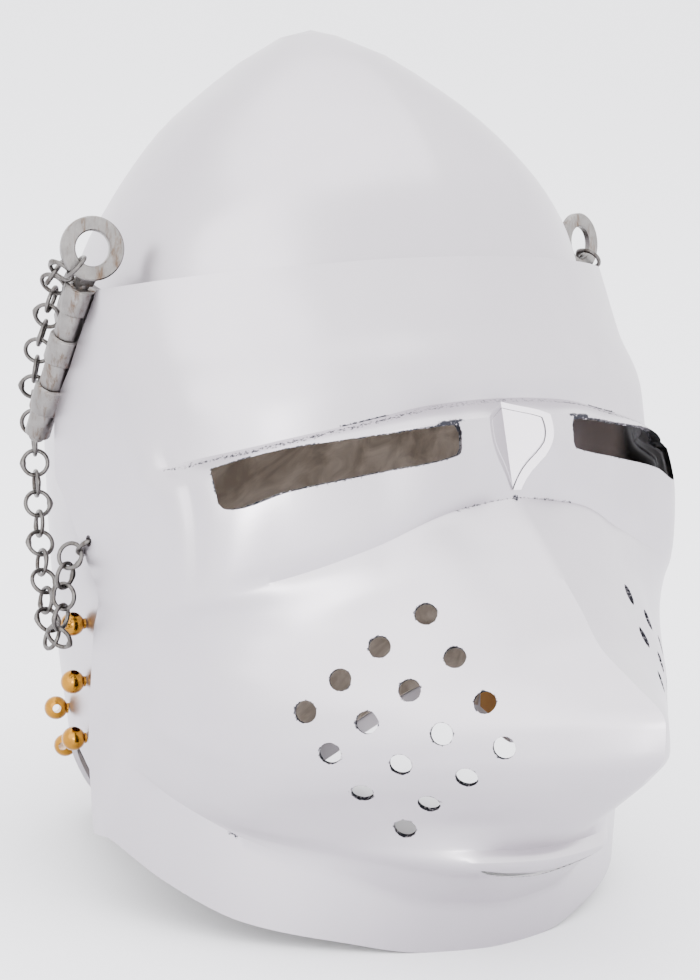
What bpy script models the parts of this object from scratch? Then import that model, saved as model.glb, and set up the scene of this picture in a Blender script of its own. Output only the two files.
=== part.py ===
"""Pig-faced bascinet: a pointed steel skull with a snouted visor that lifts on two side pivots.

The helmet is modelled upright with the eye line at the origin, +X to the wearer's left and -Y to the front.
One empty then leans it back, as it stands on a table: on the visor's lower edge and the edge at the nape.
"""
import math

import bmesh
import bpy
import numpy as np
from mathutils import Matrix, Vector
from mathutils.bvhtree import BVHTree

MM = 0.001

# Skull: the reaches are measured from the origin between the eyes
SKULL_HALF_WIDTH = 0.095
SKULL_FRONT = 0.082
SKULL_BACK = 0.128
SKULL_HEIGHT = 0.1655
SKULL_DROP = 0.113
SKULL_WALL = 0.0018
KEEL_RISE = 0.0020
KEEL_WIDTH = 0.022
BROW_LEVEL = 0.042
OPENING_BACK = 0.014
OPENING_CORNER_HEIGHT = 0.036
OPENING_CORNER_REACH = 0.0216
OPENING_CORNER_AHEAD = 0.012

# Visor
SIDE_STANDOFF = 0.0095
BROW_STANDOFF = 0.0035
SNOUT_LENGTH = 0.069
VISOR_DROP = 0.1555
VISOR_WALL = 0.0016
SLOT_INNER = 0.0235
SLOT_OUTER = 0.0955
BREATH_HOLE_RADIUS = 0.0037
BREATH_HOLE_SIDES = 8
BREATH_ROWS = 4
BREATH_COLUMNS = 4
MOUTH_HALF_WIDTH = 0.0235
MOUTH_GAP = 0.0016
MOUTH_RISE = 0.0036
MOUTH_LEVEL = -0.824
NOTCH_TOP = 0.0264
NOTCH_HEIGHT = 0.0264
NOTCH_HALF_WIDTH = 0.0106
NOTCH_TOP_DEPTH = 0.0050
NOTCH_FOOT_DEPTH = 0.0008
NOTCH_SLOPE = 0.73
EYE_BOX_REACH = 1.2
NOSE_BULGE = 0.0036
NOSE_BULGE_ACROSS = 0.011
NOSE_BULGE_LEVEL = 0.018
NOSE_BULGE_WIDTH = 0.008
NOSE_BULGE_HEIGHT = 0.011

# Hinges at the visor's rear edges
BARREL_LENGTH = 0.061
BARREL_LEAN = math.radians(35)
BARREL_TOP_LEVEL = 0.0752
BARREL_TOP_BACK = -0.0035
BARREL_OFFSET = 0.0024
KNUCKLES = 6
WIDE_KNUCKLE_RADIUS = 0.0055
NARROW_KNUCKLE_RADIUS = 0.0044
KNUCKLE_GAP = 0.0004
LEAF_THICKNESS = 0.0012
LEAF_JOG = 0.0030
VISOR_LEAF_LENGTH = 0.020
EDGE_SETBACK = 0.0078
PIN_RADIUS = 0.0026
PIN_END = 0.0022
PIN_TOP = 0.0045
RING_RADIUS = 0.011
RING_HOLE_RADIUS = 0.006
RING_THICKNESS = 0.003
RING_TURN = math.radians(16)
RING_RISE = 0.0145
LUG_WIDTH = 0.006
LUG_DEPTH = 0.0048
LUG_FOOT_WIDTH = 0.0054
LUG_SEAT = 0.0014
LUG_LIFT = 0.0004

# Side arms and their pivots
PIVOT_BACK = 0.027
PIVOT_LEVEL = 0.066
ARM_THICKNESS = 0.002
ARM_END_RADIUS = 0.008
ARM_STANDOFF = 0.0006
ARM_JOGGLE = 0.35
RIVET_RADIUS = 0.003
RIVET_HEAD_RADIUS = 0.0052
RIVET_HEAD_HEIGHT = 0.0022

# Chains that keep the hinge pins
CHAIN_TUBE_RADIUS = 0.0022
CHAIN_HOLE_RADIUS = 0.0020

# Vervelles: the pierced studs that an aventail is laced to
VERVELLE_RADIUS = 0.0037
VERVELLE_HOLE_RADIUS = 0.0013
VERVELLE_SHANK_RADIUS = 0.0019
VERVELLE_SHANK_LENGTH = 0.0020
VERVELLE_SINK = 0.0004
VERVELLE_SPACING = 0.0205
VERVELLE_LEVEL = -0.717
VERVELLE_EDGE_MARGIN = 0.012
NAPE_STEP = math.radians(21.3)
CHEEK_VERVELLES = 3
NAPE_VERVELLES = 7

# Lining inside the skull
LINER_THICKNESS = 0.003
LEATHER_THICKNESS = 0.0018
LEATHER_WIDTH = 0.012
LEATHER_SETBACK = 0.001
LINER_HEM = 0.007

# The small gap that touching pieces keep
GAP = 0.0003

# Skull sections. level: share of SKULL_HEIGHT above the eye line, of SKULL_DROP below it.
# front, half: shares of SKULL_FRONT and SKULL_HALF_WIDTH. widest, back: shares of SKULL_BACK.
# square: exponent of the front half of the section.
SKULL_COLUMNS = ("level", "front", "half", "widest", "back", "square")
SKULL_SECTIONS = (
    (-1.00, 0.915, 0.950, 0.045, 0.905, 2.20),
    (-0.75, 0.950, 0.975, 0.045, 0.925, 2.20),
    (-0.44, 0.976, 0.995, 0.045, 0.965, 2.20),
    (-0.09, 1.000, 1.000, 0.045, 0.990, 2.20),
    (0.13, 1.000, 1.000, 0.035, 1.000, 2.25),
    (0.30, 0.978, 0.990, 0.020, 0.890, 2.25),
    (0.44, 0.932, 0.975, 0.000, 0.765, 2.25),
    (0.545, 0.885, 0.925, -0.030, 0.705, 2.20),
    (0.63, 0.832, 0.842, -0.038, 0.635, 2.15),
    (0.715, 0.722, 0.735, -0.030, 0.560, 2.10),
    (0.80, 0.582, 0.598, -0.008, 0.472, 2.05),
    (0.88, 0.415, 0.412, 0.008, 0.372, 2.00),
    (0.943, 0.232, 0.248, 0.025, 0.268, 2.00),
    (0.980, 0.048, 0.128, 0.040, 0.170, 2.00),
)
APEX_BACK = 0.045

# Skull's lower edge. turn: degrees round from the front. depth: share of SKULL_DROP.
EDGE_COLUMNS = ("turn", "depth")
EDGE_SECTIONS = (
    (0, 0.910),
    (95, 0.910),
    (116, 0.745),
    (129, 0.830),
    (154, 1.021),
    (167, 1.006),
    (180, 1.000),
)

# Rear edge of the face opening below its corner. down: share of SKULL_DROP. away: metres behind OPENING_BACK.
OPENING_SECTIONS = (
    (0.372, 0.000),
    (0.690, 0.007),
    (1.300, 0.008),
)

# Outline of the notch between the eyes from its top to its foot, on the wearer's left.
# across: share of NOTCH_HALF_WIDTH. down: share of NOTCH_HEIGHT.
NOTCH_SECTIONS = (
    (0.00, 0.00),
    (0.94, 0.18),
    (1.00, 0.30),
    (0.95, 0.43),
    (0.65, 0.65),
    (0.34, 0.79),
    (0.00, 0.92),
)

# Outline of a side arm from its strap to its round end, in radii of that end.
# reach: behind the pivot. above, below: to the sides along the barrel.
ARM_STRAP_SECTION = (-1.0, 1.5, 2.2)
ARM_SECTIONS = (
    (-0.900, 1.100, 1.300),
    (-0.500, 1.000, 1.000),
    (0.000, 1.000, 1.000),
    (0.500, 0.866, 0.866),
    (0.866, 0.500, 0.500),
)

# Pivot rivet's head. out: share of its height. radius: share of its radius.
RIVET_SECTIONS = (
    (0.0, 1.00),
    (0.6, 0.80),
    (1.0, 0.35),
)

# Visor sections from the band's top edge to the lower edge.
# mid, cheek, rear: the section's level on the centre line, at the cheek and at the rear edge,
# a share of SKULL_HEIGHT above the eye line and of VISOR_DROP below it.
# y0 to y5: reach forward at the six stations from the centre to the side, a share of SKULL_FRONT.
# s0 to s3: what the snout adds at the first four stations, a share of SNOUT_LENGTH.
# edge: place of the rear edge behind the eye line, a share of SKULL_BACK; above the barrel's foot the hinge sets it.
# wide: half width, a share of the visor's. keel: how sharply the section is creased on the centre line.
VISOR_COLUMNS = ("mid", "cheek", "rear", "y0", "y1", "y2", "y3", "y4", "y5",
                 "s0", "s1", "s2", "s3", "edge", "wide", "keel")
VISOR_SECTIONS = (
    (0.475, 0.459, 0.441, 0.913, 0.895, 0.808, 0.623, 0.376, 0.164, 0.00, 0.00, 0.00, 0.00, 0.00, 0.985, 0.0),
    (0.332, 0.317, 0.296, 1.038, 1.017, 0.924, 0.720, 0.461, 0.188, 0.00, 0.00, 0.00, 0.00, 0.05, 1.000, 0.1),
    (0.230, 0.205, 0.181, 1.104, 1.100, 1.014, 0.838, 0.596, 0.286, 0.00, 0.00, 0.00, 0.00, 0.13, 1.000, 0.1),
    (0.181, 0.112, 0.066, 1.083, 1.084, 1.020, 0.869, 0.620, 0.420, 0.00, 0.00, 0.00, 0.00, 0.17, 1.000, 0.0),
    (0.145, 0.094, 0.021, 1.201, 1.221, 1.100, 0.942, 0.782, 0.529, 0.00, 0.00, 0.00, 0.00, 0.13, 1.000, 0.0),
    (0.085, 0.018, -0.077, 1.207, 1.223, 1.118, 0.973, 0.821, 0.554, 0.00, 0.00, 0.00, 0.00, 0.057, 1.000, 0.1),
    (-0.019, -0.161, -0.193, 1.187, 1.205, 1.112, 0.936, 0.791, 0.542, 0.00, 0.00, 0.00, 0.00, -0.03, 1.000, 0.6),
    (-0.116, -0.225, -0.232, 1.221, 1.220, 1.105, 0.895, 0.730, 0.505, 0.15, 0.08, 0.03, 0.02, -0.02, 1.000, 1.0),
    (-0.193, -0.277, -0.267, 1.223, 1.213, 1.095, 0.872, 0.693, 0.456, 0.30, 0.19, 0.10, 0.04, 0.00, 1.000, 1.0),
    (-0.257, -0.328, -0.302, 1.217, 1.202, 1.085, 0.867, 0.669, 0.420, 0.43, 0.29, 0.17, 0.06, 0.01, 1.000, 1.0),
    (-0.334, -0.386, -0.341, 1.218, 1.218, 1.093, 0.875, 0.657, 0.395, 0.56, 0.38, 0.24, 0.08, 0.02, 1.000, 1.0),
    (-0.405, -0.444, -0.386, 1.219, 1.216, 1.102, 0.887, 0.644, 0.383, 0.79, 0.52, 0.28, 0.08, 0.03, 1.000, 1.0),
    (-0.476, -0.502, -0.424, 1.230, 1.224, 1.106, 0.883, 0.620, 0.371, 0.98, 0.59, 0.29, 0.07, 0.04, 1.000, 0.8),
    (-0.540, -0.553, -0.457, 1.235, 1.220, 1.094, 0.863, 0.596, 0.359, 0.96, 0.58, 0.26, 0.05, 0.045, 1.000, 0.5),
    (-0.592, -0.598, -0.482, 1.205, 1.194, 1.051, 0.828, 0.547, 0.334, 0.85, 0.51, 0.21, 0.02, 0.05, 1.000, 0.4),
    (-0.643, -0.640, -0.508, 1.211, 1.177, 1.022, 0.759, 0.498, 0.310, 0.64, 0.37, 0.10, 0.00, 0.055, 1.000, 0.3),
    (-0.698, -0.672, -0.527, 1.176, 1.128, 0.977, 0.686, 0.461, 0.286, 0.45, 0.24, 0.03, 0.00, 0.06, 1.000, 0.2),
    (-0.759, -0.691, -0.540, 1.130, 1.150, 0.923, 0.637, 0.437, 0.267, 0.20, 0.12, 0.00, 0.00, 0.06, 1.000, 0.1),
    (-0.785, -0.699, -0.547, 1.127, 1.143, 0.892, 0.613, 0.425, 0.255, 0.24, 0.15, 0.00, 0.00, 0.06, 1.000, 0.1),
    (-0.823, -0.707, -0.553, 1.100, 1.091, 0.843, 0.592, 0.413, 0.249, 0.12, 0.06, 0.00, 0.00, 0.06, 1.000, 0.0),
    (-0.897, -0.717, -0.559, 0.982, 0.946, 0.801, 0.576, 0.400, 0.237, 0.00, 0.00, 0.00, 0.00, 0.06, 1.000, 0.0),
    (-1.000, -0.900, -0.723, 0.896, 0.855, 0.734, 0.521, 0.266, 0.054, 0.00, 0.00, 0.00, 0.00, 0.045, 1.005, 0.1),
)
STATION_SHARES = (0.0, 0.235, 0.49, 0.755, 0.925, 1.0, 0.985)
STATION_COLUMNS = (0, 2, 5, 8, 10, 12, 14)
CHEEK_STATION = 3

# Eye slot. across: share of the way from its inner to its outer end. top, bottom: metres above the eye line.
SLOT_SECTIONS = (
    (0.00, 0.0215, 0.0140),
    (0.03, 0.0227, 0.0126),
    (0.36, 0.0206, 0.0084),
    (0.75, 0.0172, 0.0034),
    (0.96, 0.0126, -0.0012),
    (1.00, 0.0108, 0.0008),
)

# Breath holes: the four corner holes of a cheek's diamond, across and below the eye line
BREATH_CORNERS = {
    "upper_inner": (0.0420, -0.0385),
    "upper_outer": (0.0755, -0.0680),
    "lower_inner": (0.0330, -0.0805),
    "lower_outer": (0.0435, -0.1080),
}
BREATH_BULGE = 0.006

# Route of a pin chain on the wearer's left, metres in the helmet's upright frame
CHAIN_ROUTE = (
    (0.1128, -0.0055, 0.0800),
    (0.1122, 0.0012, 0.0806),
    (0.1098, 0.0070, 0.0783),
    (0.1074, 0.0125, 0.0735),
    (0.1062, 0.0180, 0.0672),
    (0.1058, 0.0262, 0.0565),
    (0.1045, 0.0330, 0.0445),
    (0.1022, 0.0390, 0.0350),
    (0.1005, 0.0418, 0.0270),
    (0.1005, 0.0425, 0.0120),
    (0.1015, 0.0400, -0.0030),
    (0.1040, 0.0350, -0.0180),
    (0.1065, 0.0290, -0.0310),
    (0.1085, 0.0235, -0.0430),
    (0.1100, 0.0165, -0.0470),
    (0.1105, 0.0125, -0.0400),
    (0.1095, 0.0110, -0.0300),
    (0.1090, 0.0100, -0.0225),
    (0.1077, 0.0076, -0.0162),
)
CHAIN_HOLE_PLACE = (0.0006, -0.0117)


def column(table, names, name):
    """One named column of a table, as an array."""
    return np.array([row[names.index(name)] for row in table], dtype=float)


def slopes(x, y, start=None):
    """Slopes of a curve through the points that never overshoots them."""
    h = np.diff(x)
    d = np.diff(y) / h
    m = np.zeros(len(x))
    for i in range(1, len(x) - 1):
        if d[i - 1] * d[i] > 0:
            a, b = 2 * h[i] + h[i - 1], h[i] + 2 * h[i - 1]
            m[i] = (a + b) / (a / d[i - 1] + b / d[i])
    m[0] = d[0] if start is None else start * d[0]
    m[-1] = d[-1]
    return m


def smooth_curve(x, y, at, start=None):
    """Value at each place of the smooth curve through the points; start scales the first slope."""
    x, y, at = np.asarray(x, float), np.asarray(y, float), np.asarray(at, float)
    m = slopes(x, y, start)
    i = np.clip(np.searchsorted(x, at, side="right") - 1, 0, len(x) - 2)
    h = x[i + 1] - x[i]
    t = (at - x[i]) / h
    return ((1 + 2 * t) * (1 - t) ** 2 * y[i] + t * (1 - t) ** 2 * h * m[i]
            + t * t * (3 - 2 * t) * y[i + 1] + t * t * (t - 1) * h * m[i + 1])


def new_material(name, color, roughness, metallic):
    """A plain Principled material."""
    material = bpy.data.materials.new(name)
    material.use_nodes = True
    shader = material.node_tree.nodes["Principled BSDF"]
    shader.inputs["Base Color"].default_value = (*color, 1)
    shader.inputs["Roughness"].default_value = roughness
    shader.inputs["Metallic"].default_value = metallic
    return material


def new_object(name, mesh, material=None, smooth_angle=35):
    """Link an object for the mesh, with smooth shading up to the angle."""
    made = bpy.data.objects.new(name, mesh)
    bpy.context.collection.objects.link(made)
    if material:
        mesh.materials.append(material)
        mesh.shade_smooth()
        mesh.set_sharp_from_angle(angle=math.radians(smooth_angle))
    return made


def mesh_from(bm, name):
    """Turn a bmesh with its faces pointing out into a mesh."""
    bmesh.ops.recalc_face_normals(bm, faces=bm.faces)
    mesh = bpy.data.meshes.new(name)
    bm.to_mesh(mesh)
    bm.free()
    return mesh


def grid_faces(bm, rows, closed=False):
    """Faces between neighbouring rows of vertices; closed joins each row's last vertex to its first."""
    for upper, lower in zip(rows, rows[1:]):
        count = len(upper)
        for i in range(count if closed else count - 1):
            k = (i + 1) % count
            bm.faces.new((upper[i], lower[i], lower[k], upper[k]))


def add_cutter(target, cutter, operation="DIFFERENCE"):
    """Cut the target with the cutter, or join the cutter to it, and hide the cutter."""
    cutter.hide_render = True
    cutter.display_type = 'WIRE'
    cut = target.modifiers.new(cutter.name, 'BOOLEAN')
    cut.operation = operation
    cut.solver = 'EXACT'
    cut.object = cutter


def add_wall(target, thickness):
    """Give a sheet its wall, inwards from the modelled outer face."""
    wall = target.modifiers.new("wall", 'SOLIDIFY')
    wall.thickness = thickness
    wall.offset = -1
    wall.use_even_offset = True


def prism(bm, outline, low, high):
    """A closed prism: outline is a list of (y, z) pairs, run across X from low to high."""
    near = [bm.verts.new((low, y, z)) for y, z in outline]
    far = [bm.verts.new((high, y, z)) for y, z in outline]
    grid_faces(bm, [near, far], closed=True)
    bm.faces.new(near)
    bm.faces.new(far)


def rod(bm, start, end, radius, sides, end_radius=None):
    """A closed round bar, or a cone, between two points."""
    start, end = Vector(start), Vector(end)
    axis = end - start
    turn = axis.to_track_quat('Z', 'X').to_matrix().to_4x4()
    place = Matrix.Translation((start + end) / 2) @ turn
    bmesh.ops.create_cone(bm, cap_ends=True, segments=sides, radius1=radius,
                          radius2=radius if end_radius is None else end_radius,
                          depth=axis.length, matrix=place)


def mirrored(mesh, name):
    """A copy of the mesh on the other side of the helmet."""
    bm = bmesh.new()
    bm.from_mesh(mesh)
    bmesh.ops.scale(bm, vec=(-1, 1, 1), verts=bm.verts)
    bmesh.ops.reverse_faces(bm, faces=bm.faces)
    copy = bpy.data.meshes.new(name)
    bm.to_mesh(copy)
    bm.free()
    return copy


# Skull surface

def skull_section(height):
    """Front reach, half width, widest place, back reach and squareness of the skull at a height."""
    level = height / (SKULL_HEIGHT if height > 0 else SKULL_DROP)
    levels = column(SKULL_SECTIONS, SKULL_COLUMNS, "level")
    scale = {"front": SKULL_FRONT, "half": SKULL_HALF_WIDTH, "widest": SKULL_BACK, "back": SKULL_BACK, "square": 1}
    return {name: float(smooth_curve(levels, column(SKULL_SECTIONS, SKULL_COLUMNS, name), [level])[0]) * scale[name]
            for name in scale}


def skull_point(turn, height):
    """A point of the skull's outer face; turn runs round from the front, towards the wearer's left."""
    s = skull_section(height)
    along, across = math.cos(turn), math.sin(turn)
    power = 2 / s["square"] if along > 0 else 1
    x = s["half"] * math.copysign(abs(across) ** power, across)
    if along > 0:
        keel = KEEL_RISE * min(1, s["front"] / SKULL_FRONT)
        y = s["widest"] - (s["widest"] + s["front"] - keel) * along ** power
        y -= keel * max(0, 1 - abs(x) / KEEL_WIDTH) ** 1.5
    else:
        y = s["widest"] - (s["back"] - s["widest"]) * along
    return Vector((x, y, height))


def edge_depth(turn):
    """Depth of the skull's lower edge below the eye line: it arches up over the shoulders."""
    away = math.degrees(abs(math.atan2(math.sin(turn), math.cos(turn))))
    turns = column(EDGE_SECTIONS, EDGE_COLUMNS, "turn")
    depths = column(EDGE_SECTIONS, EDGE_COLUMNS, "depth")
    return SKULL_DROP * float(smooth_curve(turns, depths, [away])[0])


def skull_surface(turn, level):
    """A point of the skull: level is 1 at the apex and -1 at the lower edge."""
    return skull_point(turn, level * (SKULL_HEIGHT if level > 0 else edge_depth(turn)))


def skull_normal(turn, level):
    """Outward normal of the skull at a place."""
    step = 0.01
    across = skull_surface(turn + step, level) - skull_surface(turn - step, level)
    up = skull_surface(turn, min(level + step, 0.98)) - skull_surface(turn, level - step)
    return across.cross(up).normalized()


def skull_side(back, height):
    """Half width of the skull at a place behind the eye line."""
    low, high = 0.2, math.pi - 0.2
    for _ in range(40):
        middle = (low + high) / 2
        if skull_point(middle, height).y < back:
            low = middle
        else:
            high = middle
    return skull_point(low, height).x


SKULL_LEVELS = (0.98, 0.943, 0.88, 0.80, 0.715, 0.63, 0.545, 0.44, 0.30, 0.13, -0.09, -0.40, -0.72, -1.0)
SKULL_SEGMENTS = 28


def skull_sheet(name, inset, hem=0.0, step=1):
    """The skull's face as a sheet, moved in by the inset; hem shortens it at the lower edge."""
    bm = bmesh.new()
    rows = []
    segments = SKULL_SEGMENTS // step
    for level in SKULL_LEVELS[::-step][::-1]:
        row = []
        for i in range(segments):
            turn = 2 * math.pi * i / segments
            place = level * (1 - hem / SKULL_DROP) if level < 0 else level
            row.append(bm.verts.new(skull_surface(turn, place) - inset * skull_normal(turn, place)))
        rows.append(row)
    grid_faces(bm, rows, closed=True)
    apex = bm.verts.new((0, APEX_BACK * SKULL_BACK, SKULL_HEIGHT - inset))
    for i in range(segments):
        bm.faces.new((apex, rows[0][i], rows[0][(i + 1) % segments]))
    return mesh_from(bm, name)


def opening_outline(grow):
    """Side view of the face opening, (y, z) from the brow round to below the cheek; grow moves its edge back."""
    front = -1.6 * SKULL_FRONT
    rear = [(OPENING_BACK + grow + away, -down * SKULL_DROP) for down, away in OPENING_SECTIONS]
    centre = (-OPENING_CORNER_AHEAD, BROW_LEVEL - OPENING_CORNER_HEIGHT)
    arc = []
    for k in range(6):
        angle = math.radians(90 * k / 5)
        arc.append((centre[0] + (OPENING_CORNER_REACH + grow) * math.sin(angle),
                    centre[1] + (OPENING_CORNER_HEIGHT + grow) * math.cos(angle)))
    return [(front, rear[-1][1]), (front, BROW_LEVEL + grow)] + arc + rear


# Visor surface

def visor_half_width():
    """Half width of the visor at its rear edge."""
    return SKULL_HALF_WIDTH + SIDE_STANDOFF


def visor_level(share):
    """Height of a section level: a share of SKULL_HEIGHT above the eye line and of VISOR_DROP below it."""
    return share * np.where(np.asarray(share) > 0, SKULL_HEIGHT, VISOR_DROP)


def barrel_axis(height):
    """Place behind the eye line of the hinge barrel's axis at a height."""
    return BARREL_TOP_BACK + (BARREL_TOP_LEVEL - height) * math.tan(BARREL_LEAN)


def visor_stations(row):
    """The seven stations of one visor section, from the centre to the rear edge, as x, y and z arrays."""
    r = dict(zip(VISOR_COLUMNS, row))
    mid, cheek, rear = (float(visor_level(r[n])) for n in ("mid", "cheek", "rear"))
    places = np.array(STATION_COLUMNS) / STATION_COLUMNS[-1]
    z = smooth_curve([0, places[CHEEK_STATION], places[-2], 1], [mid, cheek, rear, rear], places, 0.0)
    reach = [r["y%d" % i] * SKULL_FRONT + BROW_STANDOFF * (1 - i / 6) for i in range(6)]
    snout = [r["s%d" % i] * SNOUT_LENGTH for i in range(4)] + [0, 0]
    edge = r["edge"] * SKULL_BACK
    foot = BARREL_TOP_LEVEL - BARREL_LENGTH * math.cos(BARREL_LEAN)
    if rear > foot:
        edge = barrel_axis(rear) - EDGE_SETBACK
    y = np.array([-(a + b) for a, b in zip(reach, snout)] + [edge])
    x = np.array(STATION_SHARES) * r["wide"] * visor_half_width()
    return x, y, z


def nose_bulge(across, level):
    """How far the plate bulges forward on both sides of the notch between the eyes."""
    away = (np.abs(across) - NOSE_BULGE_ACROSS) / NOSE_BULGE_WIDTH
    up = (level - NOSE_BULGE_LEVEL) / NOSE_BULGE_HEIGHT
    return NOSE_BULGE * np.exp(-away ** 2 - up ** 2)


def notch_reach(across, level):
    """Reach forward of the notch's two flat faces: they meet in a folded line on the centre line."""
    down = (NOTCH_TOP - level) / NOTCH_HEIGHT
    depth = NOTCH_TOP_DEPTH + (NOTCH_FOOT_DEPTH - NOTCH_TOP_DEPTH) * down
    return EYE_BOX_REACH * SKULL_FRONT + BROW_STANDOFF - depth + NOTCH_SLOPE * abs(across)


def visor_grid(rows_between, columns):
    """Points of the visor's outer face: a list of rows from the band to the lower edge, right side to left."""
    names = VISOR_COLUMNS
    count = len(VISOR_SECTIONS)
    keel = column(VISOR_SECTIONS, names, "keel")
    at = np.concatenate([np.arange(count - 1)[:, None] + np.linspace(0, 1, rows_between, endpoint=False)])
    at = np.append(at.ravel(), count - 1)
    stations = np.array([visor_stations(row) for row in VISOR_SECTIONS])
    knots = stations[:, 2, 0]
    heights = np.interp(at, np.arange(count), knots)
    known = np.array(STATION_COLUMNS) / STATION_COLUMNS[-1]
    blended = np.empty((len(at), 3, len(known)))
    for axis in range(3):
        for k in range(len(known)):
            blended[:, axis, k] = smooth_curve(-knots, stations[:, axis, k], -heights)
    sharp = smooth_curve(-knots, keel, -heights)
    places = np.linspace(0, 1, columns + 1)
    grid = []
    for (x, y, z), crease in zip(blended, sharp):
        half = np.stack([smooth_curve(known, x, places),
                         smooth_curve(known, y, places, crease),
                         smooth_curve(known, z, places, 0.3)], 1)
        half[:, 1] -= nose_bulge(half[:, 0], half[:, 2])
        other = half[1:] * (-1, 1, 1)
        grid.append(np.concatenate([other[::-1], half]))
    return np.array(grid)


def visor_place(x, z):
    """Point and outward normal of the visor's outer face where it is seen from the front at x and z."""
    grid = visor_grid(2, 40)
    flat = grid.reshape(-1, 3)
    near = np.argmin((flat[:, 0] - x) ** 2 + (flat[:, 2] - z) ** 2 + np.where(flat[:, 1] > -0.02, 1, 0))
    j, i = divmod(int(near), grid.shape[1])
    j, i = min(max(j, 1), grid.shape[0] - 2), min(max(i, 1), grid.shape[1] - 2)
    along = Vector(grid[j, i + 1] - grid[j, i - 1])
    down = Vector(grid[j + 1, i] - grid[j - 1, i])
    normal = down.cross(along).normalized()
    if normal.y > 0:
        normal = -normal
    point = Vector(grid[j, i])
    y = point.y - ((x - point.x) * normal.x + (z - point.z) * normal.z) / normal.y
    return Vector((x, y, z)), normal


def build_visor(steel):
    """The visor plate with the notch between the eyes, eye slots, breath holes, mouth slot and chain holes."""
    bm = bmesh.new()
    rows = [[bm.verts.new(p) for p in row] for row in visor_grid(1, STATION_COLUMNS[-1])]
    grid_faces(bm, rows)
    mesh = mesh_from(bm, "visor")
    face = mesh.polygons[len(mesh.polygons) // 2]
    if face.normal.y > 0:
        mesh.flip_normals()
    visor = new_object("visor", mesh, steel, 30)
    add_wall(visor, VISOR_WALL)
    add_cutter(visor, notch_front())
    add_cutter(visor, notch_back(), "UNION")
    add_cutter(visor, eye_slots())
    add_cutter(visor, breath_holes())
    add_cutter(visor, mouth_slot())
    add_cutter(visor, chain_holes())
    return visor


def notch_back():
    """The folded wall behind the notch between the eyes."""
    bm = bmesh.new()
    inside = 0.97
    for side in (1, -1):
        faces = []
        for depth in (-GAP / 5, -VISOR_WALL * 1.25):
            face = []
            for across, down in NOTCH_SECTIONS:
                x, z = across * NOTCH_HALF_WIDTH * inside, NOTCH_TOP - down * NOTCH_HEIGHT * inside
                face.append(bm.verts.new((side * x, -notch_reach(x, z) - depth, z)))
            faces.append(face)
            bm.faces.new(face)
        for near, far in zip(zip(faces[0], faces[0][1:]), zip(faces[1], faces[1][1:])):
            bm.faces.new((near[0], near[1], far[1], far[0]))
    bmesh.ops.remove_doubles(bm, verts=bm.verts, dist=GAP / 10)
    return new_object("notch_back", mesh_from(bm, "notch_back"))


def notch_front():
    """Cutter for the notch between the eyes: a wedge with its edge on the folded line."""
    bm = bmesh.new()
    reach = NOTCH_HALF_WIDTH * 1.4
    rings = []
    for z in (NOTCH_TOP - NOTCH_HEIGHT, NOTCH_TOP + NOTCH_HEIGHT * 0.15):
        rings.append([bm.verts.new((x, -notch_reach(x, z), z)) for x in (-reach, 0, reach)])
    grid_faces(bm, rings, closed=True)
    bm.faces.new(rings[0])
    bm.faces.new(rings[1])
    return new_object("notch_front", mesh_from(bm, "notch_front"))


def eye_slots():
    """Cutters for both eye slots, run through the visor from the front."""
    bm = bmesh.new()
    front, back = -1.7 * SKULL_FRONT, -0.55 * SKULL_FRONT
    span = SLOT_OUTER - SLOT_INNER
    upper = [(SLOT_INNER + span * row[0], row[1]) for row in SLOT_SECTIONS]
    lower = [(SLOT_INNER + span * row[0], row[2]) for row in reversed(SLOT_SECTIONS)]
    for side in (1, -1):
        near = [bm.verts.new((side * x, front, z)) for x, z in upper + lower]
        far = [bm.verts.new((side * x, back, z)) for x, z in upper + lower]
        grid_faces(bm, [near, far], closed=True)
        bm.faces.new(near)
        bm.faces.new(far)
    return new_object("eye_slot_cutter", mesh_from(bm, "eye_slot_cutter"))


def breath_hole_places():
    """Point and normal of each breath hole on the wearer's left cheek."""
    corners = {name: np.array(at) for name, at in BREATH_CORNERS.items()}
    places = []
    for i in range(BREATH_ROWS):
        down = i / (BREATH_ROWS - 1)
        inner = corners["upper_inner"] * (1 - down) + corners["lower_inner"] * down
        outer = corners["upper_outer"] * (1 - down) + corners["lower_outer"] * down
        for k in range(BREATH_COLUMNS):
            out = k / (BREATH_COLUMNS - 1)
            x, z = inner * (1 - out) + outer * out
            x += BREATH_BULGE * 4 * down * (1 - down) * out + BREATH_BULGE * 2 * out * (1 - out)
            places.append(visor_place(x, z))
    return places


def breath_holes():
    """Cutters for the breath holes of both cheeks."""
    bm = bmesh.new()
    reach = VISOR_WALL * 3
    for point, normal in breath_hole_places():
        for side in (1, -1):
            turned = Vector((side * normal.x, normal.y, normal.z))
            centre = Vector((side * point.x, point.y, point.z))
            rod(bm, centre - turned * reach, centre + turned * reach, BREATH_HOLE_RADIUS, BREATH_HOLE_SIDES)
    return new_object("breath_hole_cutter", mesh_from(bm, "breath_hole_cutter"))


def mouth_slot():
    """Cutter for the thin smiling slot under the lip."""
    bm = bmesh.new()
    middle = MOUTH_LEVEL * VISOR_DROP
    count = 8
    top, bottom = [], []
    for k in range(count + 1):
        across = -1 + 2 * k / count
        z = middle + MOUTH_RISE * across ** 2
        half = MOUTH_GAP / 2 * (1 - 0.6 * abs(across) ** 3)
        top.append((across * MOUTH_HALF_WIDTH, z + half))
        bottom.append((across * MOUTH_HALF_WIDTH, z - half))
    outline = top + bottom[::-1]
    near = [bm.verts.new((x, -2.2 * SKULL_FRONT, z)) for x, z in outline]
    far = [bm.verts.new((x, -0.8 * SKULL_FRONT, z)) for x, z in outline]
    grid_faces(bm, [near, far], closed=True)
    bm.faces.new(near)
    bm.faces.new(far)
    return new_object("mouth_cutter", mesh_from(bm, "mouth_cutter"))


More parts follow.
